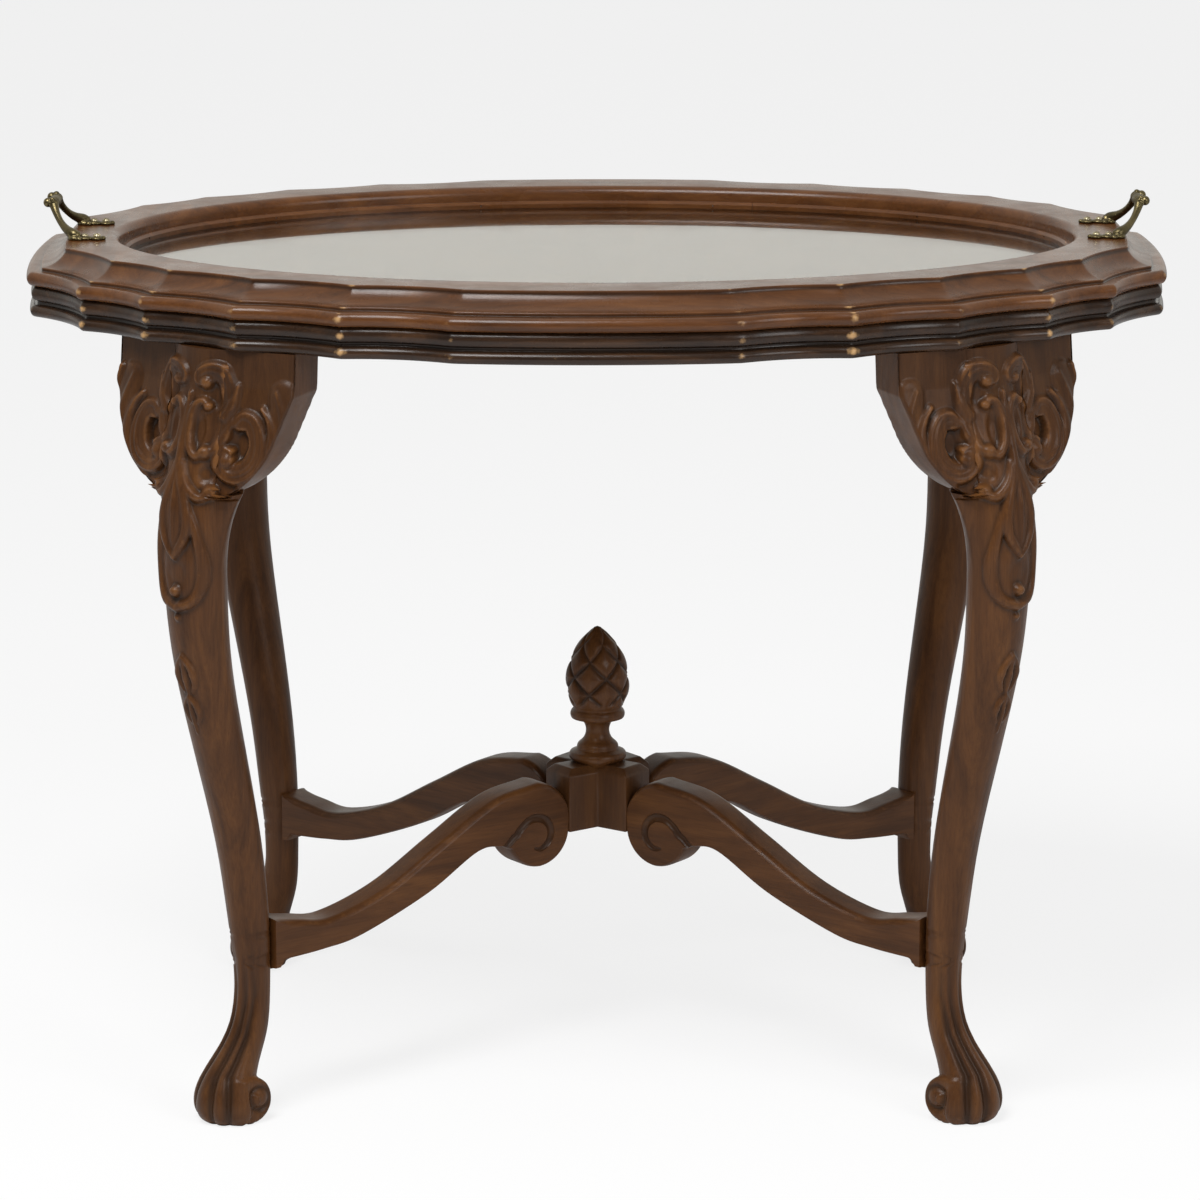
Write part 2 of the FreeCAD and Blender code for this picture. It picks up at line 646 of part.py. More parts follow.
def leg_dowels(clearance):
    extra = DOWEL_END_CLEARANCE if clearance else 0
    rods = []
    for side in (-0.5, 0.5):
        across = side * LEG_DOWEL_SPACING
        low = leg_place(across, POST_SHIFT, LEG_TOP - LEG_DOWEL_IN_LEG - extra)
        high = leg_place(across, POST_SHIFT, LEG_TOP + LEG_DOWEL_IN_TOP + extra)
        rods.append(rod(LEG_DOWEL_RADIUS + clearance, low, high))
    return rods


def block_screws(clearance):
    """Screws up through the glue block into the top, or the holes for them."""
    screws = []
    bottom = LEG_TOP - BLOCK_HEIGHT
    outward = POST_BACK - BLOCK_DEPTH / 2
    for side in (-0.5, 0.5):
        across = side * SCREW_SPACING
        seat = leg_place(across, outward, bottom)
        tip = leg_place(across, outward, LEG_TOP + SCREW_IN_TOP + (DOWEL_END_CLEARANCE if clearance else 0))
        shank = rod(SCREW_RADIUS + clearance, seat, tip)
        if not clearance:
            head = rod(SCREW_HEAD_RADIUS, seat - UP * SCREW_HEAD_HEIGHT, seat)
            shank = shank.fuse(head).removeSplitter()
        screws.append(shank)
    return screws


def fixed_top():
    """Scalloped board: one quarter is moulded, mirrored and joined, then recessed and bored."""
    segments = outline(0)
    per_quarter = len(CUSP_ANGLES)
    corners = [point for point in blank_points(segments) if point.x > -1e-6 and point.y > -1e-6]
    corners.sort(key=lambda point: math.atan2(point.y, point.x))
    end_middle = segments[-1].point(0.5, 2 * CUT_MARGIN)
    side_middle = segments[per_quarter - 1].point(0.5, 2 * CUT_MARGIN)
    quarter = polygon_face([ORIGIN, end_middle] + corners + [side_middle]).extrude(Vector(0, 0, TOP_THICKNESS))
    quarter.translate(Vector(0, 0, LEG_TOP))
    run = [segments[-1]] + segments[:per_quarter]
    quarter = cut_edges(quarter, [edge_cutter(segment, top_edge_profile()) for segment in run])
    half = quarter.fuse(across_x(quarter)).removeSplitter()
    board = half.fuse(across_y(half)).removeSplitter()
    grow = 2 * SEAT_CLEARANCE
    recess_bottom = TOP_HEIGHT - VENEER_THICKNESS
    recess = oval_plate(VENEER_LENGTH + grow, VENEER_WIDTH + grow, recess_bottom, TOP_HEIGHT + CUT_MARGIN)
    holes = all_quarters(leg_dowels(DOWEL_CLEARANCE) + block_screws(DOWEL_CLEARANCE))
    return board.cut(recess).cut(holes)


# Legs

def leg_section(height, shift, front, half_width, back, flute, turn=0):
    """Level section of the leg: four lobes round the front between two arrises, one arc behind."""
    def lobe_point(degrees, depth):
        angle = math.radians(degrees)
        radius_x = half_width - depth
        radius_y = front - depth
        return Vector(radius_x * math.sin(angle), shift + radius_y * math.cos(angle), height)

    grooves = (-90.0, -45.0, 0.0, 45.0, 90.0)
    edges = []
    for start, end in zip(grooves, grooves[1:]):
        start_depth = 0 if start == -90.0 else flute
        end_depth = 0 if end == 90.0 else flute
        middle = lobe_point((start + end) / 2, 0)
        edges.append(arc(lobe_point(start, start_depth), middle, lobe_point(end, end_depth)))
    heel = Vector(0, shift - back, height)
    edges.append(arc(lobe_point(90.0, 0), heel, lobe_point(-90.0, 0)))
    return turned(Part.Wire(edges), -turn)


def leg_sections():
    """Level sections from the sole to the top of the post."""
    sole_front = FOOT_FRONT - FOOT_SOLE_INSET
    sole_half = FOOT_HALF_WIDTH - FOOT_SOLE_INSET
    neck_share = 0.5
    bend_height = (FOOT_NECK_HEIGHT + ANKLE_HEIGHT) / 2
    bend_half = FOOT_NECK_HALF_WIDTH + (ANKLE_HALF_WIDTH - FOOT_NECK_HALF_WIDTH) * 0.75
    rows = [
        (0.0, FOOT_SHIFT, sole_front, sole_half, FOOT_BACK, FLUTE_DEPTH * neck_share, FOOT_TURN),
        (FOOT_WIDEST_HEIGHT * 0.4, FOOT_SHIFT, FOOT_FRONT - 1.0, FOOT_HALF_WIDTH - 1.0, FOOT_BACK, FLUTE_DEPTH,
         FOOT_TURN),
        (FOOT_WIDEST_HEIGHT, FOOT_SHIFT, FOOT_FRONT, FOOT_HALF_WIDTH, FOOT_BACK, FLUTE_DEPTH, FOOT_TURN),
        (FOOT_NECK_HEIGHT, FOOT_NECK_SHIFT, FOOT_NECK_HALF_WIDTH, FOOT_NECK_HALF_WIDTH,
         FOOT_NECK_HALF_WIDTH - 1.5, FLUTE_DEPTH * 0.8, FOOT_TURN),
        (bend_height, FOOT_NECK_SHIFT * 0.3, bend_half, bend_half, bend_half, FLUTE_DEPTH * neck_share,
         FOOT_TURN / 2),
    ]
    for index in range(LEG_STATIONS + 1):
        share = index / LEG_STATIONS
        ease = 0.5 - 0.5 * math.cos(math.pi * share ** LEG_SWEEP_POWER)
        height = ANKLE_HEIGHT + (KNEE_HEIGHT - ANKLE_HEIGHT) * share
        half = ANKLE_HALF_WIDTH + (KNEE_HALF_WIDTH - ANKLE_HALF_WIDTH) * share
        front = ANKLE_HALF_WIDTH + (KNEE_FRONT - ANKLE_HALF_WIDTH) * share
        back = ANKLE_HALF_WIDTH + (KNEE_BACK - ANKLE_HALF_WIDTH) * share
        flute = FLUTE_DEPTH * 0.25 if index == 0 else 0
        rows.append((height, KNEE_SHIFT * ease, front, half, back, flute))
    rows += post_rows()
    return rows


def post_rows():
    """Sections of the post, from the foot of the ears to the top: the knee leans back to the edge of the top."""
    rows = []
    for share in (0.0, 0.42, 0.75, 1.0):
        ease = 0.5 - 0.5 * math.cos(math.pi * (0.2 + 0.8 * share))
        height = LEG_TOP - EAR_DROP * (1 - share)
        shift = KNEE_SHIFT + (POST_SHIFT - KNEE_SHIFT) * ease
        front = KNEE_FRONT + (POST_FRONT - KNEE_FRONT) * share
        half = KNEE_HALF_WIDTH + (POST_ROUND_HALF_WIDTH - KNEE_HALF_WIDTH) * min(1.0, 0.35 + share)
        rows.append((height, shift, front, half, KNEE_BACK + 2.0 * share, 0))
    return rows


def foot_scroll():
    """Scroll across the heel of the foot, with a raised eye on each side."""
    half = SCROLL_HALF_WIDTH
    eye = half + SCROLL_EYE_PROUD
    rim = SCROLL_RADIUS - SCROLL_ROUND
    bevel = SCROLL_ROUND * 0.3
    edges = [
        line(Vector(-eye, 0, 0), Vector(-eye, 0, SCROLL_EYE_RADIUS - 1.0)),
        line(Vector(-eye, 0, SCROLL_EYE_RADIUS - 1.0), Vector(-half, 0, SCROLL_EYE_RADIUS)),
        line(Vector(-half, 0, SCROLL_EYE_RADIUS), Vector(-half, 0, rim)),
        arc(Vector(-half, 0, rim), Vector(bevel - half, 0, SCROLL_RADIUS - bevel),
            Vector(SCROLL_ROUND - half, 0, SCROLL_RADIUS)),
        line(Vector(SCROLL_ROUND - half, 0, SCROLL_RADIUS), Vector(half - SCROLL_ROUND, 0, SCROLL_RADIUS)),
        arc(Vector(half - SCROLL_ROUND, 0, SCROLL_RADIUS), Vector(half - bevel, 0, SCROLL_RADIUS - bevel),
            Vector(half, 0, rim)),
        line(Vector(half, 0, rim), Vector(half, 0, SCROLL_EYE_RADIUS)),
        line(Vector(half, 0, SCROLL_EYE_RADIUS), Vector(eye, 0, SCROLL_EYE_RADIUS - 1.0)),
        line(Vector(eye, 0, SCROLL_EYE_RADIUS - 1.0), Vector(eye, 0, 0)),
        line(Vector(eye, 0, 0), Vector(-eye, 0, 0)),
    ]
    scroll = closed_face(edges).revolve(ORIGIN, Vector(1, 0, 0), 360)
    scroll.translate(Vector(0, SCROLL_SHIFT, SCROLL_RADIUS))
    return turned(scroll, -FOOT_TURN)


def build_leg():
    """Leg of the back right quarter: one lofted shaft with its foot, flats for ears, block and stretcher."""
    shaft = Part.makeLoft([leg_section(*row) for row in leg_sections()], True)
    body = shaft.fuse(foot_scroll())
    wide = 4 * POST_ROUND_HALF_WIDTH
    cuts = []
    for side in (-1, 1):
        flat = Part.makeBox(wide, 2 * wide, EAR_DROP + CUT_MARGIN)
        start = POST_HALF_WIDTH if side > 0 else -POST_HALF_WIDTH - wide
        flat.translate(Vector(start, -wide, LEG_TOP - EAR_DROP))
        cuts.append(flat)
    behind = Part.makeBox(2 * wide, wide, POST_FLAT_DROP + CUT_MARGIN)
    behind.translate(Vector(-wide, POST_BACK - wide, LEG_TOP - POST_FLAT_DROP))
    cuts.append(behind)
    leg = set_leg(body.cut(cuts))
    return leg.cut([stretcher_seat()] + leg_dowels(DOWEL_CLEARANCE) + stretcher_leg_dowels(DOWEL_CLEARANCE))


def build_ear(lean, length):
    """Bracket glued to the side of the post: it follows the lean of the knee and rounds in to its foot."""
    bend = math.radians(lean)
    along = Vector(math.cos(bend), -math.sin(bend), 0)
    behind = Vector(-math.sin(bend), -math.cos(bend), 0)
    rings = []
    for height, shift, front, half, _back, _flute in post_rows():
        face = shift + front * math.sqrt(max(0.0, 1 - (POST_HALF_WIDTH / half) ** 2))
        root = Vector(POST_HALF_WIDTH, face, height)
        tip = root + along * length
        heel = Vector(POST_HALF_WIDTH, face - EAR_THICKNESS / math.cos(bend), height)
        rings.append(Part.makePolygon([root, tip, tip + behind * EAR_THICKNESS, heel, root]))
    block = Part.makeLoft(rings, True, True)
    foot = LEG_TOP - EAR_DROP
    tip_low = Vector(length, 0, LEG_TOP - EAR_TIP_HEIGHT)
    cheek = Vector(length - EAR_CHEEK_INSET, 0, LEG_TOP - EAR_CHEEK_DROP)
    corner = Vector(length - EAR_CORNER_INSET, 0, LEG_TOP - EAR_CORNER_DROP)
    inset = -EAR_THICKNESS
    pattern = closed_face([
        line(Vector(inset, 0, LEG_TOP), Vector(length, 0, LEG_TOP)),
        line(Vector(length, 0, LEG_TOP), tip_low),
        line(tip_low, cheek),
        arc(cheek, corner, Vector(0, 0, foot)),
        line(Vector(0, 0, foot), Vector(inset, 0, foot)),
        line(Vector(inset, 0, foot), Vector(inset, 0, LEG_TOP)),
    ])
    pattern = pattern.extrude(Vector(0, 6 * EAR_THICKNESS, 0))
    pattern.translate(Vector(0, -3 * EAR_THICKNESS, 0))
    pattern.rotate(ORIGIN, UP, -lean)
    pattern.translate(Vector(POST_HALF_WIDTH, POST_SHIFT + POST_FRONT, 0))
    return block.common(pattern)


def glue_block():
    """Block in the corner between the back of the post and the top."""
    low = LEG_TOP - BLOCK_HEIGHT
    back = POST_BACK - BLOCK_DEPTH
    corners = [
        Vector(0, POST_BACK, low), Vector(0, POST_BACK, LEG_TOP), Vector(0, back, LEG_TOP),
        Vector(0, back, low + BLOCK_CHAMFER), Vector(0, back + BLOCK_CHAMFER, low),
    ]
    block = polygon_face(corners).extrude(Vector(2 * BLOCK_HALF_WIDTH, 0, 0))
    block.translate(Vector(-BLOCK_HALF_WIDTH, 0, 0))
    return set_leg(block).cut(block_screws(DOWEL_CLEARANCE))


# Stretchers and hub

def set_stretcher(shape):
    """Turns a shape drawn along X towards the back right leg."""
    return turned(shape, STRETCHER_ANGLE)


def seat_reach():
    """Distance of the leg's flat seat from the middle of the table."""
    return LEG_REACH - STRETCHER_SEAT


def stretcher_seat():
    """What is cut from the leg to seat the end of the stretcher."""
    gap = SEAT_CLEARANCE
    seat = Part.makeBox(
        2 * CUTTER_REACH, STRETCHER_THICKNESS + 2 * gap, STRETCHER_END_TOP - STRETCHER_END_BOTTOM + 2 * gap
    )
    seat.translate(Vector(
        seat_reach() - 2 * CUTTER_REACH, -STRETCHER_THICKNESS / 2 - gap, STRETCHER_END_BOTTOM - gap
    ))
    return set_stretcher(seat)


def stretcher_leg_dowels(clearance):
    """Two dowels, one above the other, between stretcher and leg."""
    extra = DOWEL_END_CLEARANCE if clearance else 0
    middle = (STRETCHER_END_TOP + STRETCHER_END_BOTTOM) / 2
    rods = []
    for side in (-0.5, 0.5):
        height = middle + side * STRETCHER_DOWEL_SPACING
        far = seat_reach() + STRETCHER_DOWEL_IN_LEG + extra
        near = seat_reach() + STRETCHER_DOWEL_IN_LEG - STRETCHER_DOWEL_LENGTH - extra
        rods.append(set_stretcher(rod(
            STRETCHER_DOWEL_RADIUS + clearance, Vector(near, 0, height), Vector(far, 0, height)
        )))
    return rods


def hub_dowels(clearance):
    """One dowel between the scroll and its arm of the hub."""
    extra = DOWEL_END_CLEARANCE if clearance else 0
    near = HUB_REACH - HUB_DOWEL_IN_HUB - extra
    far = HUB_REACH - HUB_DOWEL_IN_HUB + HUB_DOWEL_LENGTH + extra
    dowel = rod(
        STRETCHER_DOWEL_RADIUS + clearance, Vector(near, 0, HUB_DOWEL_HEIGHT), Vector(far, 0, HUB_DOWEL_HEIGHT)
    )
    return [set_stretcher(dowel)]


def smooth(points):
    curve = Part.BSplineCurve()
    curve.interpolate(points)
    return curve.toShape()


def stretcher_outline(side, drop):
    """Side view of the bar on the plane Y = side, with its top edge lowered by the drop."""
    end = seat_reach()
    span = end - VOLUTE_OFFSET

    def along(share, height):
        return Vector(VOLUTE_OFFSET + span * share, side, height)

    def round_scroll(reach, degrees):
        angle = math.radians(degrees)
        return Vector(VOLUTE_OFFSET + reach * math.cos(angle), side, VOLUTE_HEIGHT + reach * math.sin(angle))

    rise = VOLUTE_RISE - drop
    crown = round_scroll(rise, 90)
    inside = round_scroll(VOLUTE_REACH, 180)
    base = round_scroll(VOLUTE_DROP, 270)
    heel = round_scroll(VOLUTE_HEEL, 335)
    notch = round_scroll(VOLUTE_NOTCH, 345)
    pad_start = Vector(end - STRETCHER_PAD_LENGTH, side, STRETCHER_UNDER_LINE[-1][1])
    pad_low = Vector(end - STRETCHER_PAD_LENGTH / 2, side, STRETCHER_END_BOTTOM)
    end_low = Vector(end, side, STRETCHER_END_BOTTOM)
    end_high = Vector(end, side, STRETCHER_END_TOP)
    top = smooth([crown] + [along(share, height - drop) for share, height in STRETCHER_TOP_LINE] + [end_high])
    under = smooth([pad_start] + [along(*p) for p in reversed(STRETCHER_UNDER_LINE[:-1])] + [notch])
    return Part.Wire([
        top,
        line(end_high, end_low),
        line(end_low, pad_low),
        line(pad_low, pad_start),
        under,
        line(notch, heel),
        arc(heel, round_scroll((VOLUTE_HEEL + VOLUTE_DROP) / 2, 302), base),
        arc(base, round_scroll((VOLUTE_DROP + VOLUTE_REACH) / 2, 225), inside),
        arc(inside, round_scroll((VOLUTE_REACH + rise) / 2, 135), crown),
    ])


def stretcher():
    """Serpentine bar that ends in a scroll at the hub and in a thickened pad at the leg.

    The bar is a core with a slab on each side; the slabs carry the chamfer, which dies away at the ends.
    """
    half = STRETCHER_THICKNESS / 2
    core = half - STRETCHER_CHAMFER
    bar = Part.Face(stretcher_outline(-core, 0)).extrude(Vector(0, 2 * core, 0))
    slabs = []
    for side in (-1, 1):
        inner = stretcher_outline(side * core, 0)
        outer = stretcher_outline(side * half, STRETCHER_CHAMFER)
        slabs.append(Part.makeLoft([inner, outer], True, True))
    bar = bar.fuse(slabs).removeSplitter()
    bar = bar.cut(eye_grooves() + [hub_side()])
    return set_stretcher(bar).cut(stretcher_leg_dowels(DOWEL_CLEARANCE) + hub_dowels(DOWEL_CLEARANCE))


def hub_side():
    """Clears the scroll back to the flat face of the hub's arm."""
    box = Part.makeBox(HUB_REACH, 2 * STRETCHER_THICKNESS, HUB_TOP)
    box.translate(Vector(0, -STRETCHER_THICKNESS, 0))
    return box


def eye_grooves():
    """Crescent sunk round the upper side of the scroll's eye, on both faces."""
    grooves = []
    depth = EYE_GROOVE_DEPTH + CUT_MARGIN
    for side in (-1, 1):
        face = side * (STRETCHER_THICKNESS / 2 - EYE_GROOVE_DEPTH)
        outer_centre = Vector(VOLUTE_OFFSET, face, VOLUTE_HEIGHT + EYE_GROOVE / 2)
        eye_centre = Vector(VOLUTE_OFFSET + EYE_GROOVE / 2, face, VOLUTE_HEIGHT - EYE_GROOVE / 2)
        outward = Vector(0, side, 0)
        outer = Part.makeCylinder(EYE_RADIUS + EYE_GROOVE / 2, depth, outer_centre, outward)
        eye = Part.makeCylinder(EYE_RADIUS, depth, eye_centre, outward)
        grooves.append(outer.cut(eye))
    return grooves


def hub():
    """Block with four arms, one towards each leg, chamfered round the top."""
    arms = []
    for angle in (STRETCHER_ANGLE, -STRETCHER_ANGLE):
        arm = Part.makeBox(2 * HUB_REACH, HUB_WIDTH, HUB_TOP - HUB_BOTTOM)
        arm.translate(Vector(-HUB_REACH, -HUB_WIDTH / 2, HUB_BOTTOM))
        rim = [e for e in arm.Edges if e.BoundBox.ZMin > HUB_TOP - CUT_MARGIN]
        arms.append(turned(arm.makeChamfer(HUB_CHAMFER, rim), angle))
    body = arms[0].fuse(arms[1])
    socket = rod(
        FINIAL_TENON_RADIUS + DOWEL_CLEARANCE,
        Vector(0, 0, HUB_TOP - FINIAL_TENON_LENGTH - DOWEL_END_CLEARANCE), Vector(0, 0, HUB_TOP + CUT_MARGIN)
    )
    return body.cut([socket] + all_quarters(hub_dowels(DOWEL_CLEARANCE))).removeSplitter()


def finial():
    """Turned stem with a pine cone, on a round tenon."""
    base_top = HUB_TOP + FINIAL_BASE_HEIGHT
    ring_top = base_top + FINIAL_RING_HEIGHT
    cup_bottom = ring_top + FINIAL_NECK_HEIGHT
    cone_bottom = cup_bottom + FINIAL_CUP_HEIGHT
    cone_top = cone_bottom + FINIAL_CONE_HEIGHT
    belly = cone_bottom + FINIAL_CONE_BELLY
    waist = FINIAL_NECK_RADIUS + 4.0

    def at(radius, height):
        return Vector(radius, 0, height)

    foot = HUB_TOP - FINIAL_TENON_LENGTH
    shoulder = FINIAL_BASE_RADIUS - 4.0
    ring = FINIAL_RING_RADIUS - 0.5
    edges = [
        line(at(0, foot), at(FINIAL_TENON_RADIUS, foot)),
        line(at(FINIAL_TENON_RADIUS, foot), at(FINIAL_TENON_RADIUS, HUB_TOP)),
        line(at(FINIAL_TENON_RADIUS, HUB_TOP), at(shoulder, HUB_TOP)),
        arc(at(shoulder, HUB_TOP), at(FINIAL_BASE_RADIUS, HUB_TOP + FINIAL_BASE_HEIGHT * 0.45), at(ring, base_top)),
        arc(at(ring, base_top), at(FINIAL_RING_RADIUS, base_top + FINIAL_RING_HEIGHT / 2), at(waist, ring_top)),
        arc(at(waist, ring_top), at(FINIAL_NECK_RADIUS, (ring_top + cup_bottom) / 2), at(waist, cup_bottom)),
        line(at(waist, cup_bottom), at(FINIAL_CUP_RADIUS - 2.0, cup_bottom)),
        arc(at(FINIAL_CUP_RADIUS - 2.0, cup_bottom), at(FINIAL_CUP_RADIUS, cup_bottom + FINIAL_CUP_HEIGHT / 2),
            at(FINIAL_CONE_FOOT, cone_bottom)),
        arc(at(FINIAL_CONE_FOOT, cone_bottom), at(FINIAL_CONE_RADIUS * 0.93, (cone_bottom + belly) / 2),
            at(FINIAL_CONE_RADIUS, belly)),
        arc(at(FINIAL_CONE_RADIUS, belly), at(FINIAL_CONE_RADIUS * 0.73, (belly + 1.5 * cone_top) / 2.5),
            at(FINIAL_TIP_RADIUS, cone_top - 1.5)),
        line(at(FINIAL_TIP_RADIUS, cone_top - 1.5), at(0, cone_top)),
        line(at(0, cone_top), at(0, foot)),
    ]
    return closed_face(edges).revolve(ORIGIN, UP, 360)


def build_base():
    save("fixed_top", fixed_top())
    save("top_veneer", oval_plate(VENEER_LENGTH, VENEER_WIDTH, TOP_HEIGHT - VENEER_THICKNESS, TOP_HEIGHT))
    pieces = {
        "leg": build_leg(),
        "ear_end": set_leg(build_ear(EAR_END_BEND, EAR_END_LENGTH)),
        "ear_side": set_leg(across_x(build_ear(EAR_SIDE_BEND, EAR_SIDE_LENGTH))),
        "glue_block": glue_block(),
        "stretcher": stretcher(),
    }
    for name, shape in pieces.items():
        for quarter, copy in quarters(shape).items():
            save(name + "_" + quarter, copy)
    save("leg_dowels", Part.makeCompound(all_quarters(leg_dowels(0))))
    save("block_screws", Part.makeCompound(all_quarters(block_screws(0))))
    save("stretcher_dowels", Part.makeCompound(all_quarters(stretcher_leg_dowels(0))))
    save("hub_dowels", Part.makeCompound(all_quarters(hub_dowels(0))))
    save("stretcher_hub", hub())
    save("finial", finial())


def main():
    os.makedirs("parts", exist_ok=True)
    build_tray()
    build_base()


main()
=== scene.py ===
"""Tray top tea table: the looks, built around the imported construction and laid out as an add-on."""

import functools
import math

import bmesh
import bpy
import numpy as np
from bpy.props import FloatProperty, FloatVectorProperty, IntProperty, PointerProperty
from mathutils import Matrix, Vector
from mathutils.bvhtree import BVHTree


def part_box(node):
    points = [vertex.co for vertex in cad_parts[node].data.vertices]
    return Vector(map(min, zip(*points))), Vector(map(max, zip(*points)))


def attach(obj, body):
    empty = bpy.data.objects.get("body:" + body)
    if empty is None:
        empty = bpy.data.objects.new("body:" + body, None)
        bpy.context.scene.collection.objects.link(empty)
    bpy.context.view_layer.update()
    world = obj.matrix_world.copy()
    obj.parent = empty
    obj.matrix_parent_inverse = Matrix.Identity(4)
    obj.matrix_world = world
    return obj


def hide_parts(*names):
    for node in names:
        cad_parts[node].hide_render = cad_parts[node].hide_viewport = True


bl_info = {
    "name": "Tray top tea table",
    "version": (1, 0, 0),
    "blender": (4, 5, 0),
    "location": "View3D > Sidebar > Tea table",
    "description": "Carved legs, moulded edges, finishes and stage of a tray top tea table",
    "category": "Object",
}

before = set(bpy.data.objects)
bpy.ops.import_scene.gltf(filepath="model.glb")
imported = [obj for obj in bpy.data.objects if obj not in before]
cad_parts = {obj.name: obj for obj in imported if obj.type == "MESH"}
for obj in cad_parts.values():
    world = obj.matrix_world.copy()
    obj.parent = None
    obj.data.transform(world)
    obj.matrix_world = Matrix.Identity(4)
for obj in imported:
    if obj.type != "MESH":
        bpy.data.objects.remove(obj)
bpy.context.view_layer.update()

MM = 0.001
QUARTERS = {"back_right": (1, 1), "back_left": (-1, 1), "front_right": (1, -1), "front_left": (-1, -1)}
# Start of the rays that look for a surface, well outside the piece, in metres.
FAR = 0.2

# Carving of a knee, in millimetres: across from the middle of the leg and height above the floor.
# Each band has its path, its half widths and its relief at both ends and the middle, and its vein.
BANDS = (
    ("body of the top scroll",
     ((10, 549), (17, 553), (25, 550), (29.5, 541), (30.5, 528), (27.5, 510), (22, 498)),
     (4.0, 6.6, 4.0), (2.2, 2.6, 1.8), 0.0),
    ("body of the ear volute",
     ((38, 519), (47, 519), (54, 510), (55, 498), (48, 488), (37, 485), (29, 490)),
     (4.0, 8.0, 5.5), (2.4, 3.4, 3.0), 0.0),
    ("body of the ear leaf", ((46, 478), (60, 485), (69.5, 498), (73.5, 513), (72, 528), (69, 541)),
     (5.0, 12.0, 9.0), (2.8, 3.6, 3.2), 0.0),
    ("body of the husk", ((0, 490), (0, 458), (0, 428)), (4.0, 10.0, 3.0), (3.0, 3.4, 2.4), 0.0),
    ("top scroll", ((12, 546), (7, 547), (6.5, 551.5), (11, 555.5), (18, 557), (25, 553.5), (29.5, 545),
                    (31, 534), (29.5, 521), (27, 509), (23, 500)), (2.8, 4.8, 2.4), (3.4, 4.6, 2.8), 0.22),
    ("upper leaf tip", ((28, 524), (32.5, 534), (35.5, 546)), (4.6, 4.0, 1.3), (4.4, 4.8, 3.2), 0.0),
    ("lower leaf tip", ((24, 501), (29.5, 511), (34, 522)), (4.2, 3.8, 1.3), (4.0, 4.4, 3.0), 0.0),
    ("middle scroll", ((15, 530), (11, 533.5), (6.5, 530.5), (3.6, 522), (3.2, 513), (5.5, 503), (11, 496),
                       (17, 498)), (2.6, 3.2, 2.8), (3.4, 4.0, 4.0), 0.0),
    ("stem", ((0, 538), (0, 513), (0, 488)), (2.0, 3.2, 3.6), (2.6, 4.2, 4.8), 0.0),
    ("ear volute", ((35, 519), (41, 525.5), (49.5, 523.5), (55.5, 514), (57.5, 502), (54.5, 491),
                    (47, 484.5), (37.5, 482.5), (29, 486.5), (26, 494), (29, 501), (34.5, 500)),
     (2.2, 5.4, 2.6), (3.6, 5.4, 4.4), 0.25),
    ("first leaf rib", ((45, 480), (57, 486), (64.5, 497), (66, 511), (62, 523), (55, 531)),
     (3.4, 4.8, 1.6), (3.4, 5.2, 3.6), 0.0),
    ("second leaf rib", ((46, 477), (60, 483), (71, 496), (74.5, 512), (71.5, 528), (65, 543)),
     (2.8, 4.6, 2.0), (3.0, 5.0, 4.2), 0.0),
    ("third leaf rib", ((48, 476), (65, 485), (77, 500), (82, 516), (82.5, 531), (79.5, 547)),
     (2.6, 4.4, 2.2), (2.6, 4.6, 4.2), 0.0),
    ("side curl", ((2.5, 490), (5.5, 480), (10.5, 472), (17, 467.5), (23, 470)),
     (2.6, 3.4, 2.8), (3.6, 4.4, 4.2), 0.0),
    ("husk edge", ((0, 490), (3.5, 478), (7.8, 466), (10.4, 453), (9.4, 441), (4.5, 431), (0, 425)),
     (2.8, 3.6, 2.4), (4.2, 4.8, 3.4), 0.0),
    ("husk rib", ((0, 482), (0, 460), (0, 436)), (1.6, 2.8, 1.4), (4.0, 4.8, 3.2), 0.0),
    ("frame", ((6, 470), (12.5, 455), (17, 438), (19.5, 421), (18, 404), (11.5, 393), (0, 388.5)),
     (2.0, 3.0, 3.2), (2.4, 3.4, 3.8), 0.0),
    ("upper bell", ((0, 352), (5.5, 344), (7, 334), (4, 326)), (2.0, 2.6, 1.2), (2.6, 3.2, 1.4), 0.0),
    ("upper bell tongue", ((0, 352), (0, 336), (0, 322)), (1.6, 2.4, 1.0), (2.8, 3.0, 1.2), 0.0),
    ("lower bell", ((0, 322), (4.5, 316), (5.5, 308), (3, 302)), (1.6, 2.2, 1.0), (2.2, 2.8, 1.2), 0.0),
    ("lower bell tongue", ((0, 322), (0, 308), (0, 294)), (1.4, 2.0, 0.8), (2.4, 2.6, 1.0), 0.0),
)
# Balls and buds: across, height, radius and relief.
BALLS = (
    (12.5, 546.5, 4.9, 5.2), (15.5, 530, 3.6, 4.6), (17.5, 498.5, 5.2, 5.6), (32, 494, 6.4, 6.2),
    (23.5, 471.5, 5.0, 5.4), (0, 400, 4.4, 4.8), (0, 381, 3.0, 2.6),
)
# Grounds cut back between the bands: across, height, the two radii and depth.
HOLLOWS = (
    (43, 505, 11, 17, 4.4), (11, 513, 6, 14, 2.4), (12, 441, 6, 22, 0.8), (20, 484, 7, 8, 2.2),
    (20, 538, 7, 12, 1.8), (0, 412, 12, 14, 1.0),
)

# Where the flank of a band meets the ground and how broad its vein is, both in half widths of the band.
BAND_FOOT = 1.15
VEIN_WIDTH = 0.3
# Painted shade under the top, on the ground of the carving: its share, and the heights between which it
# grows.
GROUND_SHADE = 0.62
GROUND_SHADE_HEIGHTS = (470 * MM, 560 * MM)

# Flutes of a foot: degrees from its front, and depth in millimetres by height.
FLUTE_ANGLES = (-54, -22, 22, 54)
FLUTE_HEIGHTS = (0, 6, 18, 38, 62, 90, 135)
FLUTE_DEPTHS = (1.6, 3.0, 3.8, 3.6, 3.0, 1.7, 0)

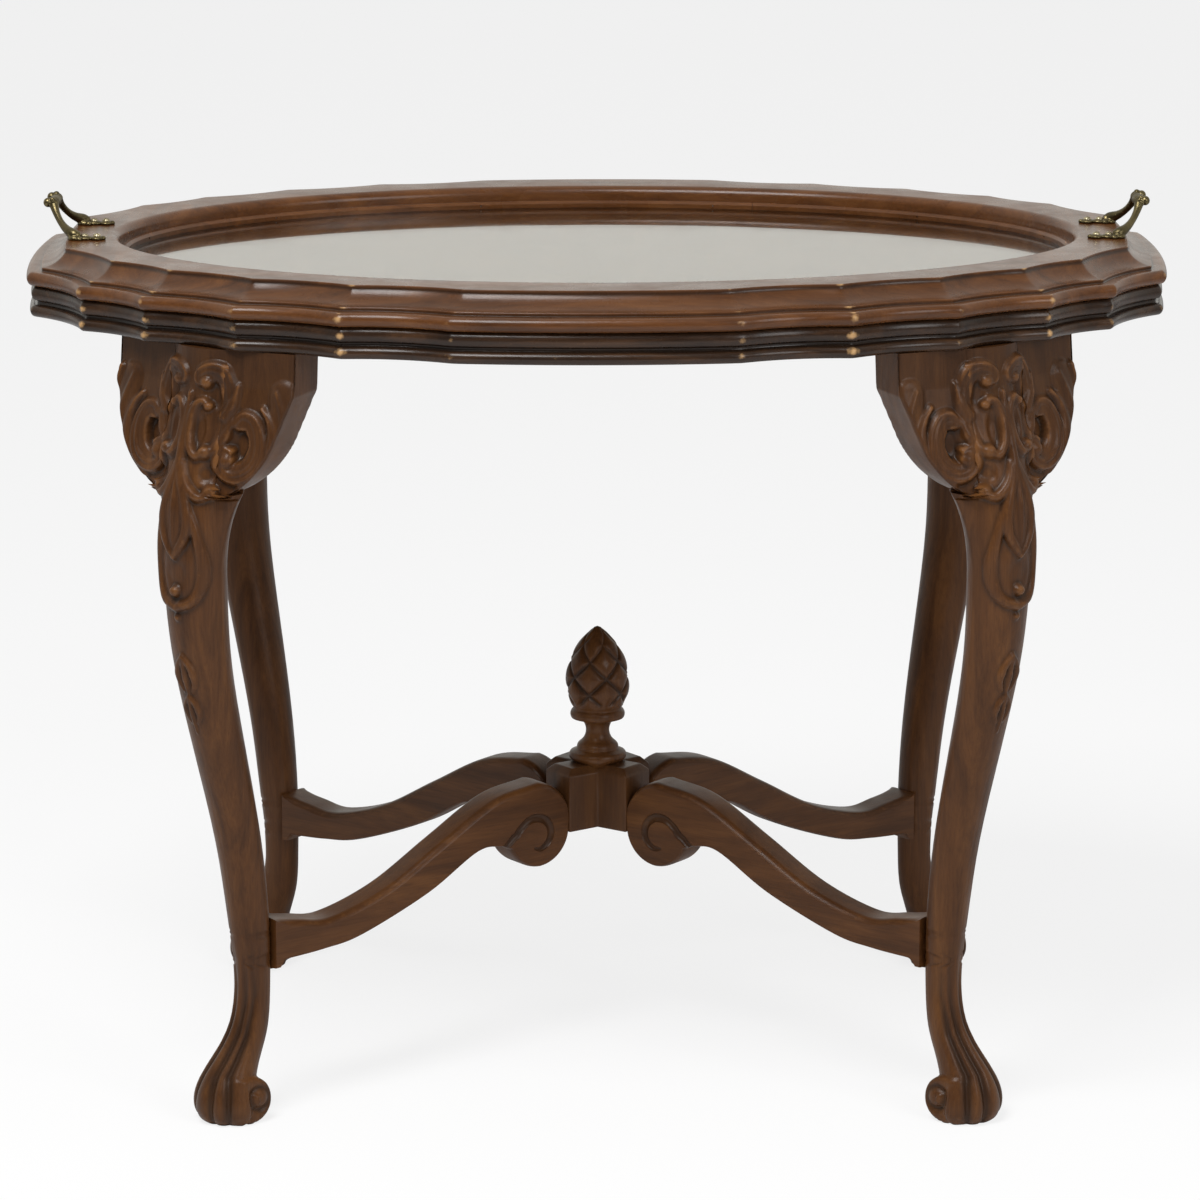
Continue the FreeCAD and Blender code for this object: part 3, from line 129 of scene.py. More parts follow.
# Stretcher, in millimetres along it and up: middle of its scroll, its end at the leg, middle of its groove.
SCROLL_MIDDLE = (62.0, 176.0)
BAR_END = 297.0
GROOVE_MIDDLE = (66.0, 171.5)
# From the middle plane of the bar: middle of the round cutter of that groove, and just inside the bar's face.
GROOVE_ASIDE = 15.2
INSIDE_FACE = 13.9
# Upper and under line of a stretcher: share of its run from the scroll to the leg, and height.
STRETCHER_TOP_LINE = ((0.17, 204.0), (0.37, 179.5), (0.58, 153.0), (0.78, 139.4), (0.9, 142.2))
STRETCHER_UNDER_LINE = ((0.82, 116.5), (0.68, 121.5), (0.43, 143.0), (0.24, 167.0))
# Rounding of its edges from a flank inwards: distance from the middle plane, inset and wear.
BAR_ROUNDING = (
    (14.0, 4.0, 0.08), (13.29, 2.66, 0.32), (12.27, 1.53, 0.32),
    (11.01, 0.68, 0.2), (9.58, 0.16, 0.08), (8.07, 0.0, 0.08),
)

# Right handle, back half, in millimetres: middles and radii of its lobes, line and radii of its arm,
# and distances from the middle of the grip with the radii there.
HANDLE_LOBES = (
    ((379.0, 36.5, 618.4), (5.4, 6.2, 3.0)), ((371.6, 36.5, 618.2), (5.4, 5.0, 2.1)),
    ((363.0, 36.5, 618.2), (5.0, 5.8, 2.1)), ((375.6, 31.2, 618.2), (2.3, 2.3, 1.9)),
    ((375.6, 41.8, 618.2), (2.3, 2.3, 1.9)), ((358.6, 36.5, 618.2), (2.2, 2.4, 1.8)),
    ((400.4, 14.0, 641.0), (3.3, 3.5, 3.5)), ((397.0, 14.6, 643.4), (2.2, 2.6, 1.8)),
)
HANDLE_ARM = ((375.5, 36.5, 619.4), (379.9, 36.5, 620.9), (385.6, 31.2, 624.0),
              (390.2, 25.2, 628.4), (393.8, 19.2, 634.0), (396.2, 14.0, 640.0))
HANDLE_ARM_RADII = (3.0, 4.1, 3.1, 2.5, 2.7, 3.6)
HANDLE_GRIP = ((0.0, 4.5), (4.5, 3.7), (6.2, 3.1), (7.6, 4.0),
               (9.2, 3.1), (11.5, 3.3), (14.0, 4.1), (17.4, 2.6))
# Size of the cells in which the parts of a handle are fused, in millimetres.
HANDLE_CELL = 0.4
# Head of a handle screw.
SCREW_HEAD_RADIUS = 2.8 * MM
SCREW_HEAD_HEIGHT = 1.8 * MM

# Plan outline: angles of the cusps in a quarter, and the arcs where the tray rails meet.
CUSP_ANGLES = (17.8, 31.2, 42.0, 54.0, 65.6, 76.5)
RAIL_JOINT_ARCS = (1, 9, 13, 21)
# Columns of points along one arc of the outline, closer together at the cusps.
ARC_SHARES = (0.0, 0.012, 0.035, 0.08, 0.15, 0.23, 0.32, 0.41, 0.5,
              0.59, 0.68, 0.77, 0.85, 0.92, 0.965, 0.988)
# The column in the middle of an arc where two rails meet.
RAIL_JOINT_COLUMNS = [arc * len(ARC_SHARES) + ARC_SHARES.index(0.5) for arc in RAIL_JOINT_ARCS]

# Stage in metres, watts and degrees: name, place, size and power of the lights, and the camera of the photo.
LIGHTS = (("key_light", (-0.8, -1.6, 3.0), 1.3, 82), ("fill_light", (2.2, -2.6, 2.0), 1.6, 40))
LIGHT_AIM = (0.0, 0.0, 0.35)
CAMERA_PLACE = (0.0033, -3.812, 1.205)
CAMERA_TURNS = ((0.02, "Z"), (77.21, "X"), (-0.10, "Z"))
FLOOR_HALF = 12.0
# What mirrors show in front of the table and behind it, what the camera sees there, and the room's light.
MIRRORED_FRONT = (0.1, 0.1, 0.1)
MIRRORED_BACK = (0.84, 0.83, 0.78)
BACKDROP = (1.0, 1.0, 1.0)
ROOM_LIGHT = (0.34, 0.34, 0.34, 1.0)


# Small helpers

def sizes():
    return bpy.context.scene.tea_table_sizes


def colours():
    return bpy.context.scene.tea_table_colours


def smooth_step(low, high, values):
    share = np.clip((values - low) / (high - low), 0.0, 1.0)
    return share * share * (3 - 2 * share)


def curve_through(points, per_span):
    """Points of a smooth line through the given ones."""
    ends = np.vstack([2 * points[0] - points[1], points, 2 * points[-1] - points[-2]])
    rows = []
    for i in range(len(points) - 1):
        p0, p1, p2, p3 = ends[i:i + 4]
        for share in np.arange(per_span) / per_span:
            rows.append(0.5 * (2 * p1 + (p2 - p0) * share + (2 * p0 - 5 * p1 + 4 * p2 - p3) * share ** 2
                               + (3 * p1 - p0 - 3 * p2 + p3) * share ** 3))
    rows.append(points[-1])
    return np.array(rows)


def grid_faces(rows, columns, wrap, flip):
    """Quads of a grid of points, row by row."""
    faces = []
    last = columns if wrap else columns - 1
    for row in range(rows - 1):
        for column in range(last):
            after = (column + 1) % columns
            quad = (row * columns + column, row * columns + after,
                    (row + 1) * columns + after, (row + 1) * columns + column)
            faces.append(quad[::-1] if flip else quad)
    return faces


def capped_faces(rows, columns, flip):
    """Quads of a closed grid and a fan at each end, round the two points that follow the grid."""
    faces = grid_faces(rows, columns, True, flip)
    low, high = rows * columns, rows * columns + 1
    last = low - columns
    for column in range(columns):
        after = (column + 1) % columns
        fans = [(after, column, low), (last + column, last + after, high)]
        faces += [fan[::-1] for fan in fans] if flip else fans
    return faces


def marks_of(wear, wax_and_shade, more=0):
    """Wear, and old wax with painted shade, of each point, nought on the points that follow the grid."""
    rest = np.zeros(more)
    return {"wear": np.append(wear.ravel(), rest), "wax_and_shade": np.append(wax_and_shade.ravel(), rest)}


def mesh_of(name, points, faces, marks):
    mesh = bpy.data.meshes.new(name)
    mesh.from_pydata([tuple(p) for p in points], [], faces)
    for label, values in marks.items():
        layer = mesh.attributes.new(label, "FLOAT", "POINT")
        layer.data.foreach_set("value", np.asarray(values, np.float32))
    return mesh


def new_object(name, data):
    piece = bpy.data.objects.new(name, data)
    bpy.context.scene.collection.objects.link(piece)
    return piece


def add_piece(name, points, faces, material, body, nodes, marks=None, crease=None):
    """A mesh that stands for the named nodes and rides on a body."""
    mesh = mesh_of(name, points, faces, marks or {})
    mesh.shade_smooth()
    if crease is not None:
        mesh.set_sharp_from_angle(angle=math.radians(crease))
    mesh.materials.append(material)
    piece = new_object(name, mesh)
    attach(piece, body)
    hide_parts(*nodes)


def worked_mesh(context, holder):
    """The mesh that the modifiers of an object give; the object itself goes."""
    mesh = bpy.data.meshes.new_from_object(holder.evaluated_get(context.evaluated_depsgraph_get()))
    bpy.data.objects.remove(holder)
    return mesh


def node_tree_of(name):
    """Ray casting tree of a construction node."""
    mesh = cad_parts[name].data
    points = [v.co.copy() for v in mesh.vertices]
    return BVHTree.FromPolygons(points, [tuple(p.vertices) for p in mesh.polygons])


# Materials

class Shading:
    """Adds nodes to a node tree and links them."""

    def __init__(self, tree):
        self.tree = tree

    def add(self, kind, inputs=None, **settings):
        node = self.tree.nodes.new(kind)
        for key, value in settings.items():
            setattr(node, key, value)
        for key, value in (inputs or {}).items():
            if isinstance(value, bpy.types.NodeSocket):
                self.tree.links.new(value, node.inputs[key])
            else:
                node.inputs[key].default_value = value
        return node

    def ramp(self, source, stops):
        node = self.add("ShaderNodeValToRGB", {"Fac": source})
        elements = node.color_ramp.elements
        while len(elements) < len(stops):
            elements.new(0.5)
        for element, (place, colour) in zip(elements, stops):
            element.position = place
            element.color = (*colour, 1.0)
        return node.outputs["Color"]

    def mix(self, factor, first, second):
        tones = [v if isinstance(v, bpy.types.NodeSocket) else (*v, 1.0) for v in (first, second)]
        node = self.add("ShaderNodeMix", {0: factor, 6: tones[0], 7: tones[1]}, data_type="RGBA")
        return node.outputs[2]

    def span(self, source, low, high, to_low, to_high):
        node = self.add("ShaderNodeMapRange", {
            "Value": source, "From Min": low, "From Max": high, "To Min": to_low, "To Max": to_high})
        return node.outputs["Result"]

    def noise(self, vector, scale, detail, roughness=0.55, distortion=0.0):
        node = self.add("ShaderNodeTexNoise", {
            "Vector": vector, "Scale": scale, "Detail": detail,
            "Roughness": roughness, "Distortion": distortion})
        return node.outputs["Fac"]

    def maths(self, first, second, operation="ADD"):
        return self.add("ShaderNodeMath", {0: first, 1: second}, operation=operation).outputs["Value"]

    def vector(self, **sides):
        return self.add("ShaderNodeCombineXYZ", sides).outputs["Vector"]

    def mapped(self, vector, **settings):
        inputs = {"Vector": vector, **settings}
        return self.add("ShaderNodeMapping", inputs).outputs["Vector"]

    def place(self):
        return self.add("ShaderNodeTexCoord").outputs["Object"]

    def mark(self, label):
        return self.add("ShaderNodeAttribute", attribute_name=label).outputs["Fac"]

    def bump(self, strength, distance, height):
        node = self.add("ShaderNodeBump", {"Strength": strength, "Distance": distance, "Height": height})
        return node.outputs["Normal"]

    def surface(self, inputs):
        """Ends a material with a principled shader."""
        shader = self.add("ShaderNodeBsdfPrincipled", inputs)
        self.add("ShaderNodeOutputMaterial", {"Surface": shader.outputs["BSDF"]})


def timber_group():
    """Figure of timber along its X axis: broad tone, dark pores and a height for the surface."""
    name = "Timber figure"
    if name in bpy.data.node_groups:
        return bpy.data.node_groups[name]
    tree = bpy.data.node_groups.new(name, "ShaderNodeTree")
    tree.interface.new_socket("Vector", in_out="INPUT", socket_type="NodeSocketVector")
    for label in ("Tone", "Pores", "Height"):
        tree.interface.new_socket(label, in_out="OUTPUT", socket_type="NodeSocketFloat")
    s = Shading(tree)
    along = s.add("NodeGroupInput").outputs["Vector"]
    stretched = s.mapped(along, Scale=(1.0, 9.0, 9.0))
    fibres = s.mapped(along, Scale=(1.0, 26.0, 26.0))
    broad = s.noise(stretched, 7.0, 5.0, 0.6, 0.8)
    fine = s.noise(fibres, 30.0, 4.0, 0.6, 0.2)
    pore = s.noise(fibres, 62.0, 2.0, 0.5, 0.0)
    tone = s.maths(s.span(broad, 0.25, 0.75, 0.0, 0.72), s.span(fine, 0.25, 0.75, 0.0, 0.28))
    pores = s.span(pore, 0.6, 0.7, 0.0, 1.0)
    height = s.maths(fine, pores, "SUBTRACT")
    s.add("NodeGroupOutput", {"Tone": tone, "Pores": pores, "Height": height})
    return tree


def new_material(name):
    material = bpy.data.materials.new(name)
    material.use_nodes = True
    material.node_tree.nodes.clear()
    return material, Shading(material.node_tree)


def made_once(make):
    """A material is made at its first use and found by its name after that."""
    @functools.wraps(make)
    def find(name, *rest):
        return bpy.data.materials.get(name) or make(name, *rest)
    return find


@made_once
def timber(name, turn, dark, middle, light, roughness, coat, wear=None, soot_and_shade=None):
    """Polished timber, its grain along X once turned; wear lightens its crests, and a dark colour fills its
    hollows and paints the shade under the top.
    """
    material, s = new_material(name)
    place = s.place()
    along = s.mapped(place, Rotation=turn)
    figure = s.add("ShaderNodeGroup", {"Vector": along}, node_tree=timber_group()).outputs
    colour = s.ramp(figure["Tone"], ((0.15, dark), (0.5, middle), (0.85, light)))
    colour = s.mix(s.span(figure["Pores"], 0.0, 1.0, 0.0, 0.45), colour, dark)
    blotch = s.noise(place, 11.0, 3.0)
    colour = s.mix(s.span(blotch, 0.5, 0.75, 0.0, 0.35), colour, dark)
    if soot_and_shade is not None:
        # Dark wax in the hollows, and painted shade under the top, from the same mark.
        colour = s.mix(s.span(s.mark("wax_and_shade"), 0.0, 1.0, 0.0, 0.7), colour, soot_and_shade)
    if wear is not None:
        scratch = s.span(s.noise(place, 160.0, 4.0, 0.7), 0.3, 0.7, -0.25, 0.25)
        rubbed = s.span(s.maths(s.mark("wear"), scratch), 0.3, 0.8, 0.0, 1.0)
        colour = s.mix(rubbed, colour, wear)
    satin = s.span(s.noise(place, 38.0, 4.0, 0.6), 0.3, 0.7, roughness - 0.06, roughness + 0.1)
    s.surface({
        "Base Color": colour, "Roughness": satin, "Normal": s.bump(0.12, 0.0006, figure["Height"]),
        "Coat Weight": coat, "Coat Roughness": 0.22, "Specular IOR Level": 0.16})
    return material


@made_once
def brass(name, bright, patina, share):
    """Old cast brass: bright where it is rubbed, dark in its hollows."""
    material, s = new_material(name)
    place = s.place()
    stain = s.noise(place, 90.0, 5.0, 0.6, 0.4)
    cast = s.noise(place, 420.0, 4.0, 0.6)
    crest = s.add("ShaderNodeNewGeometry").outputs["Pointiness"]
    rubbed = s.maths(s.span(stain, 0.35, 0.7, 0.0, share), s.span(crest, 0.5, 0.6, 0.0, 0.6))
    s.surface({
        "Base Color": s.mix(rubbed, patina, bright), "Roughness": s.span(stain, 0.3, 0.7, 0.46, 0.26),
        "Metallic": 1.0, "Normal": s.bump(0.25, 0.0004, cast)})
    return material


@made_once
def steel(name):
    """Dull steel of hidden screws and pins."""
    material, s = new_material(name)
    stain = s.noise(s.place(), 300.0, 4.0)
    colour = s.ramp(stain, ((0.3, (0.16, 0.15, 0.14)), (0.7, (0.4, 0.39, 0.38))))
    s.surface({"Base Color": colour, "Roughness": s.span(stain, 0.3, 0.7, 0.5, 0.3), "Metallic": 1.0})
    return material


@made_once
def clear_glass(name):
    """Clear plate glass with faint wiping marks."""
    material, s = new_material(name)
    marks = s.noise(s.place(), 9.0, 5.0, 0.6, 1.2)
    tint = s.ramp(marks, ((0.2, (0.89, 0.9, 0.87)), (0.8, (0.94, 0.945, 0.92))))
    s.surface({
        "Base Color": tint, "Roughness": s.span(marks, 0.4, 0.75, 0.0, 0.06),
        "Transmission Weight": 1.0, "IOR": 1.5, "Normal": s.bump(0.02, 0.001, marks)})
    return material


GRAIN_X = (0.0, 0.0, 0.0)
GRAIN_Y = (0.0, 0.0, math.radians(-90))
GRAIN_Z = (0.0, math.radians(90), 0.0)


def walnut(name, turn):
    c = colours()
    return timber(name, turn, c.walnut_dark, c.walnut, c.walnut_light, 0.36, 0.06, c.walnut_rubbed, c.soot_and_shade)


def upright_walnut():
    return walnut("Walnut, upright", GRAIN_Z)


def slanted_walnut(slope):
    """Walnut of the bars that rise or fall in plan, seen from above."""
    angle = bar_angle()
    if slope > 0:
        return walnut("Walnut, rising", (0, 0, -angle))
    return walnut("Walnut, falling", (0, 0, angle))


def tray_wood(along_table):
    c = colours()
    name, turn = ("Tray wood, long", GRAIN_X) if along_table else ("Tray wood, short", GRAIN_Y)
    return timber(name, turn, c.tray_dark, c.tray, c.tray_light, 0.28, 0.28, c.bare, c.soot_and_shade)


def dark_wood():
    c = colours()
    return timber("Darkened wood", GRAIN_X, c.ebonised_dark, c.ebonised, c.ebonised_light, 0.27, 0.3,
                  c.bare, c.soot_and_shade)


def old_brass():
    c = colours()
    return brass("Antique brass", c.brass_bright, c.brass_patina, 0.35)


def screw_brass():
    c = colours()
    return brass("Screw brass", c.screw_bright, c.brass_patina, 0.8)


# Sizes and colours that can be set in the panel

def number(label, text, value, **more):
    return FloatProperty(name=label, description=text, default=value, **more)


def metres(label, text, value):
    return number(label, text, value, unit="LENGTH", precision=4)


def bearing(label, text, degrees):
    return number(label, text, math.radians(degrees), subtype="ANGLE")


def paint(label, text, value):
    return FloatVectorProperty(name=label, description=text, default=value, size=3,
                               subtype="COLOR", min=0, max=1)


class TeaTableSizes(bpy.types.PropertyGroup):
    relief: number("Relief", "Share of the drawn carving depth", 1.0)
    fine_step: metres("Carving step", "Distance between mesh rows on the carved knee", 0.9 * MM)
    plain_step: metres("Plain step", "Distance between mesh rows on the plain leg", 3.5 * MM)
    fine_angle: number("Carving angle", "Degrees between columns on the front", 1.7)
    back_angle: number("Back angle", "Degrees between columns behind", 3.0)
    leg_facing: bearing("Leg facing", "Plane of the leg from the Y axis", 40)
    ankle_x: metres("Ankle X", "Ankle from the middle of the table along its length", 249.7 * MM)
    ankle_y: metres("Ankle Y", "Ankle from the middle of the table along its width", 182.0 * MM)
    post_half: metres("Post half width", "Half of the post between the ears", 25.0 * MM)
    ear_length: metres("Ear length", "Ear from the post to its end", 59.0 * MM)
    ear_end_bend: bearing("End ear lean", "Lean of the ear towards the end", 5)
    ear_side_bend: bearing("Side ear lean", "Lean of the ear towards the long side", 18)
    flare: metres("Flare", "Sweep of the side of a leg out to its ear", 13.0 * MM)
    flare_low: metres("Flare start", "Height where that sweep starts", 405.0 * MM)
    flare_high: metres("Flare end", "Height where that sweep meets the ear", 470.0 * MM)
    hub_reach: metres("Hub reach", "Flat end of a hub arm from the middle of the table", 37.0 * MM)
    top_length: metres("Top length", "Fixed top over its cusps, along the table", 855.0 * MM)
    top_width: metres("Top width", "Fixed top over its cusps, across the table", 588.0 * MM)
    top_height: metres("Top height", "Upper face of the fixed top", 592.0 * MM)
    scallop_depth: metres("Scallop depth", "Hollow of the short arcs of the edge", 6.5 * MM)
    end_bow: metres("End bow", "Bulge of the long arcs at the ends", 5.5 * MM)
    front_bow: metres("Front bow", "Bulge of the long arcs at front and back", 7.0 * MM)
    tray_overhang: metres("Tray overhang", "Edge of the tray beyond the fixed top", 2.0 * MM)
    well_length: metres("Well length", "Oval well of the tray, along the table", 699.0 * MM)
    well_width: metres("Well width", "Oval well of the tray, across the table", 453.0 * MM)
    well_roll: metres("Well lip", "Radius of the rolled lip of the well", 6.5 * MM)
    ledge_width: metres("Ledge", "Ledge that carries the glass", 12.5 * MM)
    glass_bottom: metres("Glass", "Underside of the glass", 596.5 * MM)
    cone_rows: IntProperty(name="Cone spirals", description="Grooves of the cone each way round", default=5)
    cone_turn: number("Cone turn", "Part of a turn that a groove makes", 0.5)
    cone_groove: metres("Cone groove", "Depth of a groove of the pine cone", 2.0 * MM)
    camera_lens: number("Camera lens", "Focal length in millimetres", 157.4)


class TeaTableColours(bpy.types.PropertyGroup):
    walnut: paint("Walnut", "Middle tone of legs and stretchers", (0.078, 0.0295, 0.0088))
    walnut_dark: paint("Dark walnut", "Dark figure of the walnut", (0.042, 0.0158, 0.0052))
    walnut_light: paint("Light walnut", "Light figure of the walnut", (0.116, 0.046, 0.0132))
    walnut_rubbed: paint("Rubbed walnut", "Crests of the carving", (0.135, 0.055, 0.0165))
    # Dark wax of the hollows, also used for the painted shade under the top and over the hub.
    soot_and_shade: paint("Old wax", "Dirt and wax in the hollows", (0.012, 0.0075, 0.0052))
    tray: paint("Tray wood", "Middle tone of the tray frame", (0.094, 0.0335, 0.0094))
    tray_dark: paint("Dark tray wood", "Dark figure of the tray frame", (0.05, 0.0176, 0.0054))
    tray_light: paint("Light tray wood", "Light figure of the tray frame", (0.138, 0.052, 0.0146))
    bare: paint("Bare wood", "Wood without its polish", (0.42, 0.25, 0.11))
    ebonised: paint("Darkened wood", "Middle tone of the edge of the fixed top", (0.027, 0.0125, 0.0058))
    ebonised_dark: paint("Darkest wood", "Dark figure of that edge", (0.012, 0.0063, 0.0038))
    ebonised_light: paint("Lighter darkened wood", "Light figure of that edge", (0.055, 0.0245, 0.0102))
    veneer: paint("Veneer", "Middle tone of the field under the glass", (0.115, 0.058, 0.027))
    veneer_dark: paint("Dark veneer", "Dark figure of the field", (0.07, 0.033, 0.015))
    veneer_light: paint("Light veneer", "Light figure of the field", (0.17, 0.092, 0.045))
    plain: paint("Plain wood", "Unpolished blocks and dowels", (0.3, 0.19, 0.1))
    brass_bright: paint("Bright brass", "Rubbed parts of the handles", (0.31, 0.245, 0.115))
    brass_patina: paint("Brass patina", "Dull parts of the handles", (0.062, 0.051, 0.027))
    screw_bright: paint("Screw brass", "Rubbed heads of the handle screws", (0.6, 0.52, 0.34))
    floor: paint("Floor", "Floor and backdrop", (0.94, 0.94, 0.94))


# Legs and ears

def leg_frame():
    """Ankle, outward and across directions of the back right leg."""
    p = sizes()
    ankle = Vector((p.ankle_x, p.ankle_y, 0.0))
    outward = Vector((math.sin(p.leg_facing), math.cos(p.leg_facing), 0.0))
    across = Vector((math.cos(p.leg_facing), -math.sin(p.leg_facing), 0.0))
    return ankle, outward, across


def leg_arrays():
    return [np.array(v) for v in leg_frame()]


def bar_angle():
    """Angle of a stretcher from the long axis of the table, in plan."""
    p = sizes()
    return math.atan2(p.ankle_y, p.ankle_x)


def relief(across, height):
    """Height of the carving over the plain surface; across and height in metres."""
    points = np.stack([np.abs(across), height], -1).reshape(-1, 2) / MM
    total = np.zeros(len(points))
    for across_at, height_at, wide, tall, depth in HOLLOWS:
        reach = np.hypot((points[:, 0] - across_at) / wide, (points[:, 1] - height_at) / tall)
        total = np.minimum(total, -depth * (1 - smooth_step(0.45, 1.0, reach)))
    for _name, path, widths, reliefs, vein in BANDS:
        line = curve_through(np.array(path, float), 6)
        start, run = line[:-1], np.diff(line, axis=0)
        room = 1.2 * max(widths)
        low, high = line.min(0) - room, line.max(0) + room
        near = np.where(((points > low) & (points < high)).all(1))[0]
        if len(near) == 0:
            continue
        offset = points[near, None, :] - start[None]
        share = np.clip((offset * run).sum(-1) / (run * run).sum(-1), 0, 1)
        gap = np.linalg.norm(offset - share[..., None] * run, axis=-1)
        best = gap.argmin(1)
        along = (best + share[np.arange(len(near)), best]) / len(run)
        half = np.interp(along, (0, 0.5, 1), widths)
        tall = np.interp(along, (0, 0.5, 1), reliefs)
        side = np.clip(gap.min(1) / half, 0, 1.6)
        rise = tall * np.clip(1 - (side / BAND_FOOT) ** 2.8, 0, 1) ** 0.6
        rise *= 1 - vein * np.exp(-(side / VEIN_WIDTH) ** 2)
        total[near] = np.where(side < BAND_FOOT, np.maximum(total[near], rise), total[near])
    for across_at, height_at, radius, tall in BALLS:
        reach = np.hypot(points[:, 0] - across_at, points[:, 1] - height_at) / radius
        ball = tall * np.sqrt(np.clip(1 - reach ** 2, 0, 1))
        total = np.maximum(total, np.where(reach < 1, ball, -9))
    return total.reshape(across.shape) * MM * sizes().relief


def box_blur(values, reach):
    """Mean over a square of neighbours, edges repeated."""
    wide = np.pad(values, reach, mode="edge")
    total = np.zeros_like(values)
    for i in range(2 * reach + 1):
        for j in range(2 * reach + 1):
            total += wide[i:i + values.shape[0], j:j + values.shape[1]]
    return total / (2 * reach + 1) ** 2


def carving_marks(height):
    """Wear on crests and wax in hollows, from how a point stands over its neighbours."""
    full_wear, full_wax = 2.0 * MM, 1.3 * MM
    lift = height - box_blur(height, 4)
    return np.clip(lift / full_wear, 0, 1), np.clip(-lift / full_wax, 0, 1)


def painted_ground_shade(heights, wear):
    """Painted shade that the top casts on the ground of the carving, growing towards the top and less on worn
    crests.
    """
    return GROUND_SHADE * smooth_step(*GROUND_SHADE_HEIGHTS, heights) * (1 - wear)


def grid_normals(points):
    down = np.gradient(points, axis=0)
    side = np.gradient(points, axis=1)
    normal = np.cross(down, side)
    return normal / np.maximum(np.linalg.norm(normal, axis=-1, keepdims=True), 1e-12)


def leg_points():
    """Rows of points round the back right leg, taken from its construction."""
    p = sizes()
    ankle, outward, across = leg_frame()
    tree = node_tree_of("leg_back_right")
    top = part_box("leg_back_right")[1].z
    carved_from = 285 * MM
    foot_to = 46 * MM
    foot_step = 1.25 * MM
    skin = 0.0002
    front_half = 104.0
    heights = np.concatenate([
        np.arange(0.0, foot_to, foot_step), np.arange(foot_to, carved_from, p.plain_step),
        np.arange(carved_from, top, p.fine_step), [top]])
    front = np.radians(np.arange(-front_half, front_half, p.fine_angle))
    back = np.radians(np.arange(front_half, 360 - front_half, p.back_angle))
    angles = np.concatenate([front, back])
    grid = np.zeros((len(heights), len(angles), 3))
    for row, height in enumerate(heights):
        level = Vector((0, 0, min(max(height, skin), top - skin)))
        fore = tree.ray_cast(ankle + level + outward * FAR, -outward)[0]
        rear = tree.ray_cast(ankle + level - outward * FAR, outward)[0]
        middle = (fore + rear) / 2
        for column, angle in enumerate(angles):
            way = outward * math.cos(angle) + across * math.sin(angle)
            spot = tree.ray_cast(middle + way * FAR, -way)[0]
            grid[row, column] = spot if spot is not None else middle
            grid[row, column, 2] = height
    return grid


def flute_foot(grid):
    """Foot and ankle with their lobes evened out, crisp flutes between the toes and a scroll at each side."""
    ankle, outward, across = leg_arrays()
    heights = grid[..., 2] / MM
    turn = np.radians(np.interp(heights, (36, 64, 92), (14, 7, 0)))
    shift = np.interp(heights, (0, 36, 64, 92), (19.5, 18.8, 5.6, 0)) * MM
    crest_window, crest_blur = 24, 9
    full_dirt = 2.3 * MM
    offset = grid - ankle
    along, aside = offset @ outward, offset @ across
    front = along * np.cos(turn) + aside * np.sin(turn) - shift
    side = aside * np.cos(turn) - along * np.sin(turn)
    angle, reach = np.degrees(np.arctan2(side, front)), np.hypot(side, front)
    facing = 1 - smooth_step(78, 96, np.abs(angle))
    depth = np.interp(heights, FLUTE_HEIGHTS, FLUTE_DEPTHS) * MM
    flutes = np.zeros_like(reach)
    evened = reach.copy()
    for row in np.where(grid[:, 0, 2] < FLUTE_HEIGHTS[-1] * MM)[0]:
        gap = np.abs(angle[row][:, None] - angle[row][None])
        crest = np.where(gap < crest_window, reach[row][None], 0).max(1)
        weight = np.exp(-(gap / crest_blur) ** 2)
        smoothed = (weight * crest[None]).sum(1) / weight.sum(1)
        evened[row] = reach[row] + (smoothed - reach[row]) * facing[row]
        broad = np.interp(heights[row, 0], (15, 45), (10, 14))
        narrow = np.interp(heights[row, 0], (15, 45), (5.2, 9))
        for at in FLUTE_ANGLES:
            off = angle[row] - at
            groove = 0.6 * np.exp(-(off / narrow) ** 2) + 0.4 * np.exp(-(off / broad) ** 2)
            flutes[row] = np.maximum(flutes[row], groove)
    moved = evened - depth * flutes * facing
    change = (moved - reach) / np.maximum(reach, 1e-6)
    grow_front, grow_side = front * change, side * change
    step = (grow_front * np.cos(turn) - grow_side * np.sin(turn))[..., None] * outward
    step = step + (grow_front * np.sin(turn) + grow_side * np.cos(turn))[..., None] * across
    dirt = np.clip(flutes * depth / full_dirt, 0, 1) * facing
    push, ring = foot_scroll(front + shift, side, reach, grid[..., 2])
    sideways = np.cos(turn)[..., None] * across - np.sin(turn)[..., None] * outward
    return grid + step + push[..., None] * sideways, np.maximum(dirt, 0.9 * ring)


def foot_scroll(along, side, reach, heights):
    """Scroll on the flanks of a foot: how far it moves them sideways, and its ring groove."""
    middle_along, middle_height = 9.0 * MM, 18.5 * MM
    ring_radius, ring_width, ring_depth = 8.2 * MM, 2.1 * MM, 1.9 * MM
    eye_radius, eye_rise = 6.8 * MM, 1.3 * MM
    away = np.hypot(along - middle_along, heights - middle_height)
    flank = smooth_step(0.3, 0.75, np.abs(side) / reach)
    flank = flank * smooth_step(8 * MM, 12 * MM, np.abs(side))
    ring = np.exp(-((away - ring_radius) / ring_width) ** 2) * flank
    eye = np.clip(1 - (away / eye_radius) ** 2, 0, 1) * flank
    return np.sign(side) * (eye_rise * eye - ring_depth * ring), ring


def flare_to_ears(sideways, along, heights):
    """How far the sides of a leg sweep out below the ears, so that leg and ear flow into each other."""
    p = sizes()
    rise = np.clip((heights - p.flare_low) / (p.flare_high - p.flare_low), 0, 1) ** 2.2
    hidden = 1 - smooth_step(p.flare_high, p.flare_high + 7 * MM, heights)
    wide = np.abs(sideways)
    arris = np.take_along_axis(along, wide.argmax(1)[:, None], 1)
    behind = 1 - smooth_step(-3 * MM, 8 * MM, along - arris)
    near_side = smooth_step(0.4, 0.85, wide / wide.max(1, keepdims=True))
    return np.sign(sideways) * p.flare * rise * hidden * near_side * behind


